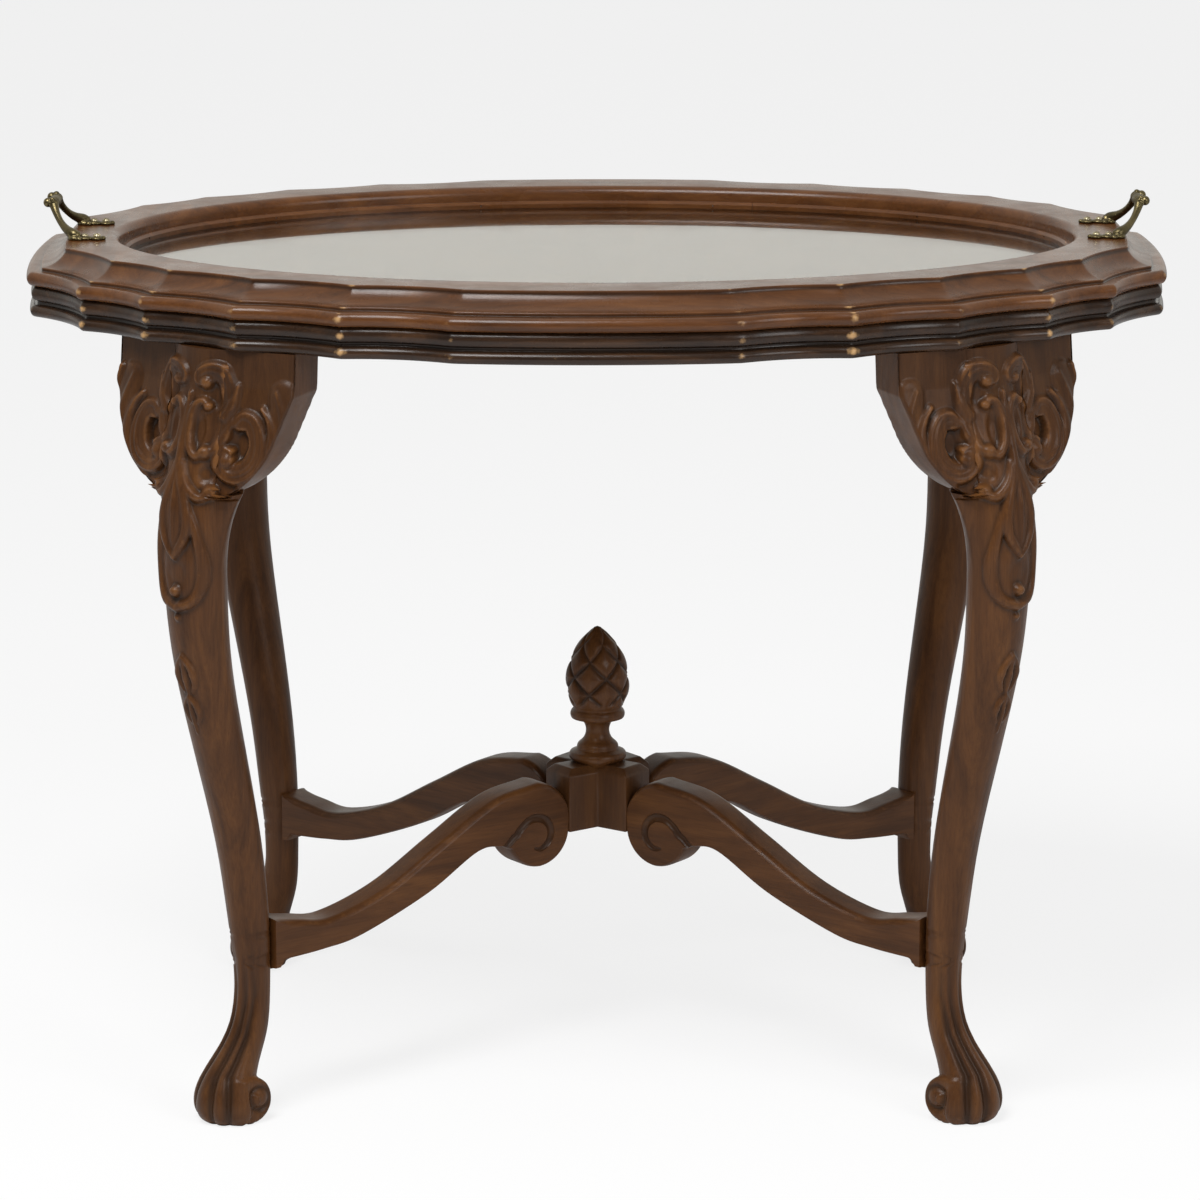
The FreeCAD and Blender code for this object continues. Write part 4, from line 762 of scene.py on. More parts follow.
def carve_leg(grid):
    """The points moved out by the carving, with wear, and wax with painted shade under the top."""
    ankle, outward, across = leg_arrays()
    grid, dirt = flute_foot(grid)
    heights = grid[..., 2]
    offset = grid - ankle
    sideways = offset @ across
    normal = grid_normals(grid)
    facing = smooth_step(0.12, 0.45, normal @ outward)
    height = box_blur(relief(sideways, heights), 1) * facing
    sweep = flare_to_ears(sideways, offset @ outward, heights)
    carved = grid + normal * height[..., None] + across * sweep[..., None]
    wear, wax_and_shade = carving_marks(height)
    # Wax of the hollows, with the painted shade under the top added.
    wax = np.maximum(wax_and_shade, painted_ground_shade(heights, wear))
    return carved, wear, np.maximum(wax, 0.95 * dirt)


class TEATABLE_OT_legs(bpy.types.Operator):
    """Build the four cabriole legs with carved knees"""

    bl_idname = "teatable.legs"
    bl_label = "Carved legs"

    def execute(self, context):
        points, wear, wax_and_shade = carve_leg(leg_points())
        rows, columns = points.shape[:2]
        flat = points.reshape(-1, 3)
        every = np.vstack([flat, flat[:columns].mean(0), flat[-columns:].mean(0)])
        marks = marks_of(wear, wax_and_shade, 2)
        for quarter, (side_x, side_y) in QUARTERS.items():
            faces = capped_faces(rows, columns, side_x * side_y > 0)
            node = "leg_" + quarter
            add_piece("carved_" + node, every * (side_x, side_y, 1), faces, upright_walnut(),
                      "base", [node], marks, 50)
        return {"FINISHED"}


def ear_points(node, side, bend):
    """Front and back points of an ear of the back right leg, in level rows from the post outwards."""
    p = sizes()
    ankle, outward, across = leg_frame()
    tree = node_tree_of(node)
    low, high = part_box(node)
    seam = p.post_half + 0.1 * MM
    columns = 68
    halvings = 18

    def cast(distance, height, front):
        place = ankle + across * (side * distance) + Vector((0, 0, height))
        way = outward if front else -outward
        return tree.ray_cast(place + way * FAR, -way)[0]

    heights = np.arange(low.z + 0.4 * MM, high.z - 0.3 * MM, p.fine_step)
    heights = np.append(heights, high.z - 0.2 * MM)
    shares = np.linspace(0.0, 1.0, columns)
    front = np.zeros((len(heights), columns, 3))
    back = np.zeros_like(front)
    distance = np.zeros(front.shape[:2])
    for row, height in enumerate(heights):
        within, outside = seam, p.post_half + 1.2 * p.ear_length
        for _ in range(halvings):
            middle = (within + outside) / 2
            if cast(middle, height, True) is None:
                outside = middle
            else:
                within = middle
        distance[row] = seam + (within - seam) * shares
        for column, place in enumerate(distance[row]):
            front[row, column] = cast(place, height, True)
            behind_it = cast(place, height, False)
            back[row, column] = front[row, column] if behind_it is None else behind_it
    slope = np.gradient(distance[:, -1], heights)
    edge = (distance[:, -1:] - distance) / np.sqrt(1 + slope ** 2)[:, None]
    lateral = p.post_half + (distance - p.post_half) / math.cos(bend)
    behind = np.array(-across * side * math.sin(bend) - outward * math.cos(bend))
    return front, back, lateral, edge, behind


class TEATABLE_OT_ears(bpy.types.Operator):
    """Build the eight ears beside the knees, with the carving that runs over from the legs"""

    bl_idname = "teatable.ears"
    bl_label = "Carved ears"

    def execute(self, context):
        p = sizes()
        soften = 2.2 * MM
        for kind, side, bend in (("end", 1, p.ear_end_bend), ("side", -1, p.ear_side_bend)):
            grid, back, lateral, edge, behind = ear_points("ear_%s_back_right" % kind, side, bend)
            height = box_blur(relief(lateral, grid[..., 2]), 1)
            drop = soften * (1 - np.sqrt(np.clip(1 - (1 - np.clip(edge / soften, 0, 1)) ** 2, 0, 1)))
            front = grid - behind * (height - drop)[..., None]
            wear, wax_and_shade = carving_marks(height)
            # Painted shade under the top, as on the legs.
            wax_and_shade = np.maximum(wax_and_shade, painted_ground_shade(grid[..., 2], wear))
            rows, columns = edge.shape
            count = rows * columns
            points = np.vstack([front.reshape(-1, 3), back.reshape(-1, 3)])
            marks = marks_of(wear, wax_and_shade, count)
            index = np.arange(count).reshape(rows, columns)
            rim = [*index[0], *index[1:, -1], *index[-1, -2::-1], *index[-2:0:-1, 0]]
            rim = [int(i) for i in rim]
            for quarter, (side_x, side_y) in QUARTERS.items():
                flip = side_x * side_y * side > 0
                faces = grid_faces(rows, columns, False, flip)
                faces += [tuple(i + count for i in face[::-1]) for face in faces]
                for here, after in zip(rim, rim[1:] + rim[:1]):
                    quad = (here, here + count, after + count, after)
                    faces.append(quad[::-1] if flip else quad)
                node = "ear_%s_%s" % (kind, quarter)
                add_piece("carved_" + node, points * (side_x, side_y, 1), faces, upright_walnut(),
                          "base", [node], marks, 40)
        return {"FINISHED"}


# Stretchers and hub

def stretcher_side():
    """Side view of a stretcher, clockwise from the crown of its scroll, and how soft its edge is."""
    scroll, level = SCROLL_MIDDLE
    span = BAR_END - scroll
    crown, heel = 35.0, 34.0
    seat_top, seat_low = 146.5, 109.5

    def round_scroll(reach, degrees):
        angle = np.radians(degrees)
        return np.stack([scroll + reach * np.cos(angle), level + reach * np.sin(angle)], -1)

    def along_bar(line):
        return [(scroll + span * share, height) for share, height in line]

    top = [round_scroll(crown, 90)] + along_bar(STRETCHER_TOP_LINE) + [(BAR_END, seat_top)]
    top = curve_through(np.array(top), 8)
    seat = np.array([(BAR_END, seat_low), (BAR_END - 4.5, seat_low)])
    under = [(BAR_END - 9.0, 114.5)] + along_bar(STRETCHER_UNDER_LINE) + [round_scroll(heel, 345)]
    under = curve_through(np.array(under), 8)
    turns = np.arange(335.0, 92.0, -5.0)
    reach = np.interp(turns, (90, 135, 180, 225, 270, 302, 335), (35, 30.75, 26.5, 28, 29.5, 29.25, 29))
    curl = round_scroll(reach, turns)
    ease = [np.interp(np.linspace(0, 1, len(top)), (0, 0.9, 1), (1, 1, 0.2)), np.full(len(seat), 0.2),
            np.full(len(under), 0.36), np.interp(turns, (90, 150, 335), (1, 0.5, 0.36))]
    return np.vstack([top, seat, under, curl]), np.concatenate(ease)


def inset_normals(outline):
    """Outward directions at the points of a clockwise outline."""
    ahead = np.roll(outline, -1, 0) - outline
    ahead = ahead / np.linalg.norm(ahead, axis=1, keepdims=True)
    mean = ahead + np.roll(ahead, 1, 0)
    mean = mean / np.maximum(np.linalg.norm(mean, axis=1, keepdims=True), 1e-6)
    return np.stack([-mean[:, 1], mean[:, 0]], -1)


def groove_line():
    """Spiral groove of a scroll: places along the bar, heights and half widths, in millimetres."""
    turns = np.linspace(285, -14, 80)
    angle = np.radians(turns)
    reach = np.interp(turns, (-14, -5, 10, 40, 90, 180, 250, 285), (33, 25, 18, 15, 13.6, 12.8, 11.2, 9.5))
    half = np.interp(turns, (-14, 0, 90, 180, 240, 285), (3.0, 3.7, 3.7, 3.5, 2.9, 1.6))
    return GROOVE_MIDDLE[0] + reach * np.cos(angle), GROOVE_MIDDLE[1] + reach * np.sin(angle), half


def round_tube(centre, thick, upright):
    """Closed tube along a line with its half thickness at each point; upright is no direction of the line."""
    ahead = np.gradient(centre, axis=0)
    ahead = ahead / np.linalg.norm(ahead, axis=1, keepdims=True)
    aside = np.cross(ahead, upright)
    aside = aside / np.linalg.norm(aside, axis=1, keepdims=True)
    over = np.cross(aside, ahead)
    rounds = np.linspace(0, 2 * math.pi, 22, endpoint=False)
    ring = aside[:, None] * np.cos(rounds)[None, :, None] + over[:, None] * np.sin(rounds)[None, :, None]
    points = centre[:, None] + ring * thick[:, None, None]
    rows, columns = points.shape[:2]
    faces = grid_faces(rows, columns, True, False)
    faces += [tuple(reversed(range(columns))), tuple((rows - 1) * columns + i for i in range(columns))]
    return points.reshape(-1, 3), faces


def groove_tube(side):
    """Round cutter along the spiral groove of a stretcher's scroll, on the face of that side."""
    along, height, thick = groove_line()
    centre = np.stack([along, np.full(len(along), side * GROOVE_ASIDE), height], -1)
    return round_tube(centre, thick, (0, 1, 0))


def rough_object(name, points, faces, marks):
    """An object to be worked on that takes no part in the table yet; its faces are turned outwards."""
    mesh = mesh_of(name, points, faces, marks)
    work = bmesh.new()
    work.from_mesh(mesh)
    bmesh.ops.recalc_face_normals(work, faces=work.faces)
    work.to_mesh(mesh)
    work.free()
    return new_object(name, mesh)


class TEATABLE_OT_stretchers(bpy.types.Operator):
    """Build the four serpentine stretchers with softened edges and the spiral groove of their scrolls"""

    bl_idname = "teatable.stretchers"
    bl_label = "Stretchers"

    def execute(self, context):
        reach = sizes().hub_reach / MM
        outline, ease = stretcher_side()
        normals = inset_normals(outline)
        rows = [(-aside, inset, rub) for aside, inset, rub in BAR_ROUNDING] + list(reversed(BAR_ROUNDING))
        points, wear = [], []
        for aside, inset, rub in rows:
            spots = outline - normals * (ease * inset)[:, None]
            spots[:, 0] = np.maximum(spots[:, 0], reach)
            points.append(np.stack([spots[:, 0], np.full(len(spots), aside), spots[:, 1]], -1))
            wear.append(ease * rub)
        count = len(outline)
        faces = grid_faces(len(rows), count, True, True)
        faces += [tuple(range(count)), tuple((len(rows) - 1) * count + i for i in reversed(range(count)))]
        marks = {"wear": np.concatenate(wear)}
        bar = rough_object("stretcher_bar", np.concatenate(points) * MM, faces, marks)
        cutters = []
        for side in (-1, 1):
            spots, sides = groove_tube(side)
            cutters.append(rough_object("scroll_groove", spots * MM, sides, {"wear": np.zeros(len(spots))}))
            cut = bar.modifiers.new("Groove", "BOOLEAN")
            cut.object = cutters[-1]
            cut.solver = "EXACT"
        carved = worked_mesh(context, bar)
        for cutter in cutters:
            bpy.data.objects.remove(cutter)
        self.set_bars(carved)
        return {"FINISHED"}

    def set_bars(self, carved):
        straight = np.array([v.co for v in carved.vertices])
        points = straight @ np.array(Matrix.Rotation(bar_angle(), 3, "Z").transposed())
        faces = [tuple(f.vertices) for f in carved.polygons]
        wear = np.zeros(len(points), np.float32)
        carved.attributes["wear"].data.foreach_get("value", wear)
        straight = straight / MM
        along, height, half = groove_line()
        gap = np.hypot(straight[:, :1] - along, straight[:, 2:] - height) - half
        sunk = (gap.min(axis=1) < 0.2) & (np.abs(straight[:, 1]) < INSIDE_FACE)
        marks = marks_of(np.where(sunk, 0, wear), np.where(sunk, 0.65, 0))
        for quarter, (side_x, side_y) in QUARTERS.items():
            slope = side_x * side_y
            slanted = [f[::-1] for f in faces] if slope < 0 else faces
            node = "stretcher_" + quarter
            add_piece("shaped_" + node, points * (side_x, side_y, 1), slanted, slanted_walnut(slope),
                      "base", [node], marks, 24)


class TEATABLE_OT_hub(bpy.types.Operator):
    """Ease the arrises of the hub under the finial"""

    bl_idname = "teatable.hub"
    bl_label = "Stretcher hub"

    def execute(self, context):
        flat, corner = math.radians(2), math.radians(25)
        clear_of_tenon, shortest, ease = 14 * MM, 6 * MM, 1.1 * MM
        work = bmesh.new()
        work.from_mesh(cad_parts["stretcher_hub"].data)
        bmesh.ops.remove_doubles(work, verts=work.verts, dist=0.01 * MM)
        bmesh.ops.dissolve_limit(work, angle_limit=flat, verts=work.verts, edges=work.edges)
        sharp = [e for e in work.edges if len(e.link_faces) == 2 and e.calc_face_angle() > corner
                 and min(v.co.xy.length for v in e.verts) > clear_of_tenon and e.calc_length() > shortest]
        bmesh.ops.bevel(work, geom=sharp, offset=ease, segments=3, profile=0.5, affect="EDGES")
        points = [v.co.copy() for v in work.verts]
        work.verts.index_update()
        faces = [tuple(v.index for v in f.verts) for f in work.faces]
        work.free()
        # The whole hub is darkened: dirt, and painted shade of the table above it.
        marks = marks_of(np.zeros(len(points)), np.full(len(points), 0.4))
        add_piece("eased_hub", points, faces, upright_walnut(), "base",
                  ["stretcher_hub"], marks, 30)
        return {"FINISHED"}


# Moulded edges of the tray and the fixed top

def scallops(length, width):
    """Cusps of the outline, anticlockwise from the right, and the arc after each: middle, radius, side."""
    p = sizes()
    angles = list(CUSP_ANGLES) + [180 - a for a in reversed(CUSP_ANGLES)]
    angles += [180 + a for a in CUSP_ANGLES] + [360 - a for a in reversed(CUSP_ANGLES)]
    turn = np.radians(angles)
    cusps = np.stack([length / 2 * np.cos(turn), width / 2 * np.sin(turn)], -1)
    arcs = []
    for index, start in enumerate(cusps):
        end = cusps[(index + 1) % len(cusps)]
        wide = (index + 1) % len(CUSP_ANGLES) == 0
        at_end = ((index + 1) // len(CUSP_ANGLES)) % 2 == 0
        depth = p.scallop_depth
        if wide:
            depth = p.end_bow if at_end else p.front_bow
        chord = end - start
        span = np.linalg.norm(chord)
        radius = span ** 2 / (8 * depth) + depth / 2
        side = -1 if wide else 1
        outward = np.array((chord[1], -chord[0])) / span
        arcs.append(((start + end) / 2 + outward * side * (radius - depth), radius, side))
    return cusps, arcs


def meeting_point(first, second, inset, near):
    """Where two arcs set in from the edge meet."""
    (centre_a, radius_a, side_a), (centre_b, radius_b, side_b) = first, second
    reach_a = radius_a + side_a * inset
    reach_b = radius_b + side_b * inset
    way = centre_b - centre_a
    gap = np.linalg.norm(way)
    way = way / gap
    along = (reach_a ** 2 - reach_b ** 2 + gap ** 2) / (2 * gap)
    aside = math.sqrt(max(reach_a ** 2 - along ** 2, 0.0))
    found = [centre_a + way * along + np.array((-way[1], way[0])) * aside * s for s in (-1, 1)]
    return min(found, key=lambda point: np.linalg.norm(point - near))


def edge_ring(cusps, arcs, inset):
    """Plan points of the whole edge at one inset, arc by arc; the cusps are a little rubbed down."""
    rubbed, rubbed_share = 0.45 * MM, 0.014
    corners = [meeting_point(arcs[i - 1], arcs[i], inset, cusps[i]) for i in range(len(cusps))]
    points = []
    for index, (centre, radius, side) in enumerate(arcs):
        reach = radius + side * inset
        start = corners[index] - centre
        end = corners[(index + 1) % len(corners)] - centre
        first = math.atan2(start[1], start[0])
        swing = (math.atan2(end[1], end[0]) - first + math.pi) % (2 * math.pi) - math.pi
        for share in ARC_SHARES:
            angle = first + swing * share
            worn = rubbed * math.exp(-(min(share, 1 - share) / rubbed_share) ** 2)
            points.append(centre + np.array((math.cos(angle), math.sin(angle))) * (reach + side * worn))
    return np.array(points)


def arc_through(start, middle, end, count):
    """Points of the arc through three points, without its end."""
    (ax, ay), (bx, by), (cx, cy) = start, middle, end
    square_a, square_b, square_c = ax ** 2 + ay ** 2, bx ** 2 + by ** 2, cx ** 2 + cy ** 2
    twice = 2 * (ax * (by - cy) + bx * (cy - ay) + cx * (ay - by))
    ux = (square_a * (by - cy) + square_b * (cy - ay) + square_c * (ay - by)) / twice
    uy = (square_a * (cx - bx) + square_b * (ax - cx) + square_c * (bx - ax)) / twice
    radius = math.hypot(ax - ux, ay - uy)
    first = math.atan2(ay - uy, ax - ux)
    via = (math.atan2(by - uy, bx - ux) - first) % (2 * math.pi)
    swing = (math.atan2(cy - uy, cx - ux) - first) % (2 * math.pi)
    if via > swing:
        swing -= 2 * math.pi
    angles = first + swing * np.arange(count) / count
    return [(ux + radius * math.cos(a), uy + radius * math.sin(a)) for a in angles]


def soften(profile, ease):
    """Cuts the arris off every sharp corner of a profile of (inset, height, mark) rows."""
    straight = 0.85
    rows = [profile[0]]
    for before, here, after in zip(profile, profile[1:], profile[2:]):
        a = np.array(before[:2]) - here[:2]
        b = np.array(after[:2]) - here[:2]
        long_a, long_b = np.linalg.norm(a), np.linalg.norm(b)
        if abs(a @ b) > straight * long_a * long_b:
            rows.append(here)
            continue
        for way, long in ((a, long_a), (b, long_b)):
            spot = np.array(here[:2]) + way / long * min(ease, long * 0.4)
            rows.append((spot[0], spot[1], here[2]))
    return rows + [profile[-1]]


def tray_profile():
    """Inset, height and mark (wear above nought, wax below) up the edge of the tray, in millimetres."""
    nose = arc_through((3.0, 592.0), (0.0, 596.5), (3.2, 601.7), 9)
    cove = arc_through((11.0, 604.2), (20.8, 607.2), (28.0, 614.5), 10)
    rows = [(i, z, 0.8 * math.exp(-((z - 598.0) / 3.0) ** 2)) for i, z in nose]
    rows += [(3.2, 601.7, 0.75), (5.0, 601.7, 0.0), (9.0, 601.7, -0.3), (11.0, 601.7, -1.0)]
    rows += [(11.0, 604.2, 0.8)] + [(i, z, -0.2) for i, z in cove[1:]]
    rows += [(28.0, 614.5, -1.0), (28.0, 617.0, 0.75), (29.6, 617.0, 0.1)]
    return soften(rows, 0.45)


def top_profile():
    """The same up the moulded edge of the fixed top."""
    bead = arc_through((2.5, 569.5), (0.0, 573.5), (2.5, 577.5), 10)
    cove = arc_through((2.5, 577.5), (5.5, 579.5), (2.5, 581.5), 7)
    nose = arc_through((2.5, 581.5), (1.2, 586.75), (5.0, 592.0), 10)
    rows = [(i, z, math.exp(-((z - 574.5) / 2.6) ** 2)) for i, z in bead]
    rows += [(2.5, 577.5, 0.35)] + [(i, z, -0.8) for i, z in cove[1:]]
    rows += [(i, z, math.exp(-((z - 585.5) / 2.4) ** 2)) for i, z in nose]
    rows += [(5.0, 592.0, 0.2), (9.0, 592.0, 0.0)]
    return soften(rows, 0.35)


def oval_ring(length, width, turns):
    return np.stack([length / 2 * np.cos(turns), width / 2 * np.sin(turns)], -1)


def level(points, height):
    return np.column_stack([points, np.full(len(points), height)])


def edge_marks(cusps, plan):
    """How rubbed each column is by its cusp, from one on it to nought away from it, and a slow change."""
    reach = 3.4 * MM
    gaps = np.linalg.norm(plan[:, None] - cusps[None], axis=-1)
    rubbed = 0.66 + 0.34 * np.sin(2.4 * np.arange(len(cusps)) + 0.7)
    way = np.arctan2(plan[:, 1], plan[:, 0])
    patchy = 0.5 + 0.28 * np.sin(7.3 * way + 1.1) + 0.22 * np.sin(17.9 * way + 0.4)
    return (rubbed * np.exp(-(gaps / reach) ** 2)).max(1), patchy


def moulded_rows(cusps, arcs, profile):
    """Rows of points up a moulded edge, with wear at the cusps and along the proud rows."""
    plan = edge_ring(cusps, arcs, 0.0)
    cusp, patchy = edge_marks(cusps, plan)
    points, wear, wax_and_shade = [], [], []
    for inset, height, mark in profile:
        points.append(level(edge_ring(cusps, arcs, inset * MM), height * MM))
        proud = max(mark, 0.0)
        wear.append(proud * (0.95 * cusp + 0.3 * np.clip(patchy - 0.35, 0, 1)))
        wax_and_shade.append(np.full(len(plan), max(-mark, 0.0)))
    return points, wear, wax_and_shade


def add_rows(rows, points, height, wear=0.0, wax_and_shade=0.0):
    """One more ring of points inside the moulded rows."""
    rows[0].append(level(points, height))
    rows[1].append(np.full(len(points), wear))
    rows[2].append(np.full(len(points), wax_and_shade))


class TEATABLE_OT_tray_rails(bpy.types.Operator):
    """Build the four rails of the tray: moulded and scalloped outside, an oval well with a lip inside"""

    bl_idname = "teatable.tray_rails"
    bl_label = "Tray rails"

    def execute(self, context):
        p = sizes()
        overhang = 2 * p.tray_overhang
        cusps, arcs = scallops(p.top_length + overhang, p.top_width + overhang)
        rows = moulded_rows(cusps, arcs, tray_profile())
        plan = edge_ring(cusps, arcs, 0.0)
        turns = np.unwrap(np.arctan2(plan[:, 1] / p.top_width, plan[:, 0] / p.top_length))
        turns = turns + self.lean_to_joints(turns, plan, arcs)
        top = tray_profile()[-1][1] * MM
        for share in np.linspace(0.0, 1.0, 8):
            lean = math.pi / 2 * share
            grow = 2 * p.well_roll * (1 - math.sin(lean))
            drop = p.well_roll * (1 - math.cos(lean))
            add_rows(rows, oval_ring(p.well_length + grow, p.well_width + grow, turns), top - drop,
                     0.08 * math.sin(math.pi * share), 0.0)
        ledge = 2 * p.ledge_width
        wall = (p.well_length, p.well_width)
        hole = (p.well_length - ledge, p.well_width - ledge)
        for oval, height, dirt in ((wall, p.glass_bottom + 5 * MM, 0.5), (wall, p.glass_bottom, 1.0),
                                   (hole, p.glass_bottom, 0.0), (hole, p.top_height, 0.0)):
            add_rows(rows, oval_ring(*oval, turns), height, 0.0, dirt)
        points, wear, wax_and_shade = (np.array(part) for part in rows)
        total = points.shape[1]
        joints = [RAIL_JOINT_COLUMNS[-1] - total, *RAIL_JOINT_COLUMNS]
        for name, first, last in zip(("right", "back", "left", "front"), joints, joints[1:]):
            columns = np.arange(first, last + 1) % total
            self.add_rail(name, points[:, columns], wear[:, columns], wax_and_shade[:, columns])
        return {"FINISHED"}

    def lean_to_joints(self, turns, plan, arcs):
        """Small turns that bring the inner rings onto the straight glue lines at the four joints."""
        p = sizes()
        shifts = []
        for arc, column in zip(RAIL_JOINT_ARCS, RAIL_JOINT_COLUMNS):
            outer = plan[column]
            inward = outer - arcs[arc][0]
            inward = inward / np.linalg.norm(inward)
            reach = np.linspace(0.0, 0.11, 2201)[:, None]
            run = outer + inward * reach
            share = np.hypot(run[:, 0] / p.well_length, run[:, 1] / p.well_width)
            spot = run[np.argmin(np.abs(share - 0.5))]
            turn = math.atan2(spot[1] / p.well_width, spot[0] / p.well_length)
            shifts.append((turn - turns[column] + math.pi) % (2 * math.pi) - math.pi)
        return np.interp(np.arange(len(turns)), RAIL_JOINT_COLUMNS, shifts, period=len(turns))

    def add_rail(self, name, points, wear, wax_and_shade):
        rows, columns = points.shape[:2]
        faces = []
        for row in range(rows):
            for column in range(columns - 1):
                below, above = row * columns + column, ((row + 1) % rows) * columns + column
                faces.append((below, below + 1, above + 1, above))
        faces.append(tuple(row * columns for row in range(rows)))
        faces.append(tuple((row + 1) * columns - 1 for row in reversed(range(rows))))
        material = tray_wood(name in ("front", "back"))
        add_piece("moulded_rail_" + name, points.reshape(-1, 3), faces, material, "tray",
                  ["tray_rail_" + name], marks_of(wear, wax_and_shade), 32)


class TEATABLE_OT_fixed_top(bpy.types.Operator):
    """Build the fixed top with its darkened, rubbed edge and the shallow bed for the veneer"""

    bl_idname = "teatable.fixed_top"
    bl_label = "Fixed top"

    def execute(self, context):
        p = sizes()
        cusps, arcs = scallops(p.top_length, p.top_width)
        rows = moulded_rows(cusps, arcs, top_profile())
        plan = edge_ring(cusps, arcs, 0.0)
        turns = np.arctan2(plan[:, 1] / p.top_width, plan[:, 0] / p.top_length)
        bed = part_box("top_veneer")
        room = 0.8 * MM
        wide, deep = bed[1].x - bed[0].x + room, bed[1].y - bed[0].y + room
        add_rows(rows, oval_ring(wide, deep, turns), p.top_height)
        add_rows(rows, oval_ring(wide, deep, turns), bed[0].z, 0.0, 1.0)
        points, wear, wax_and_shade = (np.array(part) for part in rows)
        count, columns = points.shape[:2]
        faces = grid_faces(count, columns, True, False)
        faces.append(tuple((count - 1) * columns + column for column in range(columns)))
        faces.append(tuple(reversed(range(columns))))
        add_piece("moulded_top", points.reshape(-1, 3), faces, dark_wood(), "base",
                  ["fixed_top"], marks_of(wear, wax_and_shade), 32)
        return {"FINISHED"}


# Handles and their screws

def handle_skin(context):
    """Points and faces of the right handle: lobes, arms and grip fused into one casting."""
    work = bmesh.new()
    for side in (-1, 1):
        for (x, y, z), radii in HANDLE_LOBES:
            place = Matrix.Translation(Vector((x, side * y, z))) @ Matrix.Diagonal((*radii, 1.0))
            bmesh.ops.create_uvsphere(work, u_segments=24, v_segments=16, radius=1.0, matrix=place)
    arm = curve_through(np.array(HANDLE_ARM), 8)
    thick = curve_through(np.array(HANDLE_ARM_RADII)[:, None], 8)[:, 0]
    reach, girth = np.array(HANDLE_GRIP).T
    run = np.linspace(-reach[-1], reach[-1], 71)
    grip = np.array([(HANDLE_ARM[-1][0], place, HANDLE_ARM[-1][2]) for place in run])
    tubes = [round_tube(arm * (1, side, 1), thick, (0, 0, 1)) for side in (-1, 1)]
    tubes.append(round_tube(grip, np.interp(np.abs(run), reach, girth), (0, 0, 1)))
    for points, faces in tubes:
        corners = [work.verts.new(point) for point in points]
        for face in faces:
            work.faces.new([corners[i] for i in face])
    bmesh.ops.recalc_face_normals(work, faces=work.faces)
    mesh = bpy.data.meshes.new("handle_parts")
    work.to_mesh(mesh)
    work.free()
    holder = new_object("handle_parts", mesh)
    remesh = holder.modifiers.new("Casting", "REMESH")
    remesh.mode = "VOXEL"
    remesh.voxel_size = HANDLE_CELL
    blend = holder.modifiers.new("Soft", "SMOOTH")
    blend.iterations = 3
    cast = worked_mesh(context, holder)
    points = np.array([v.co for v in cast.vertices])
    points[:, 2] = np.maximum(points[:, 2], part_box("handle_right")[0].z / MM)
    return points * MM, [tuple(f.vertices) for f in cast.polygons]


class TEATABLE_OT_handles(bpy.types.Operator):
    """Cast the two brass handles with lobed feet, slender arms and a knobbed grip"""

    bl_idname = "teatable.handles"
    bl_label = "Cast handles"

    def execute(self, context):
        points, faces = handle_skin(context)
        for name, side in (("right", 1), ("left", -1)):
            turned = faces if side > 0 else [face[::-1] for face in faces]
            add_piece("cast_handle_" + name, points * (side, 1, 1), turned, old_brass(),
                      "tray", ["handle_" + name])
        return {"FINISHED"}


def socket_box(s, size, height):
    """Box with sizes from sockets, its middle at a height."""
    box = s.add("GeometryNodeMeshCube", {"Size": s.vector(**dict(zip("XYZ", size)))}).outputs["Mesh"]
    return moved(s, box, Translation=s.vector(Z=height))


def moved(s, geometry, **change):
    inputs = {"Geometry": geometry, **change}
    return s.add("GeometryNodeTransform", inputs).outputs["Geometry"]


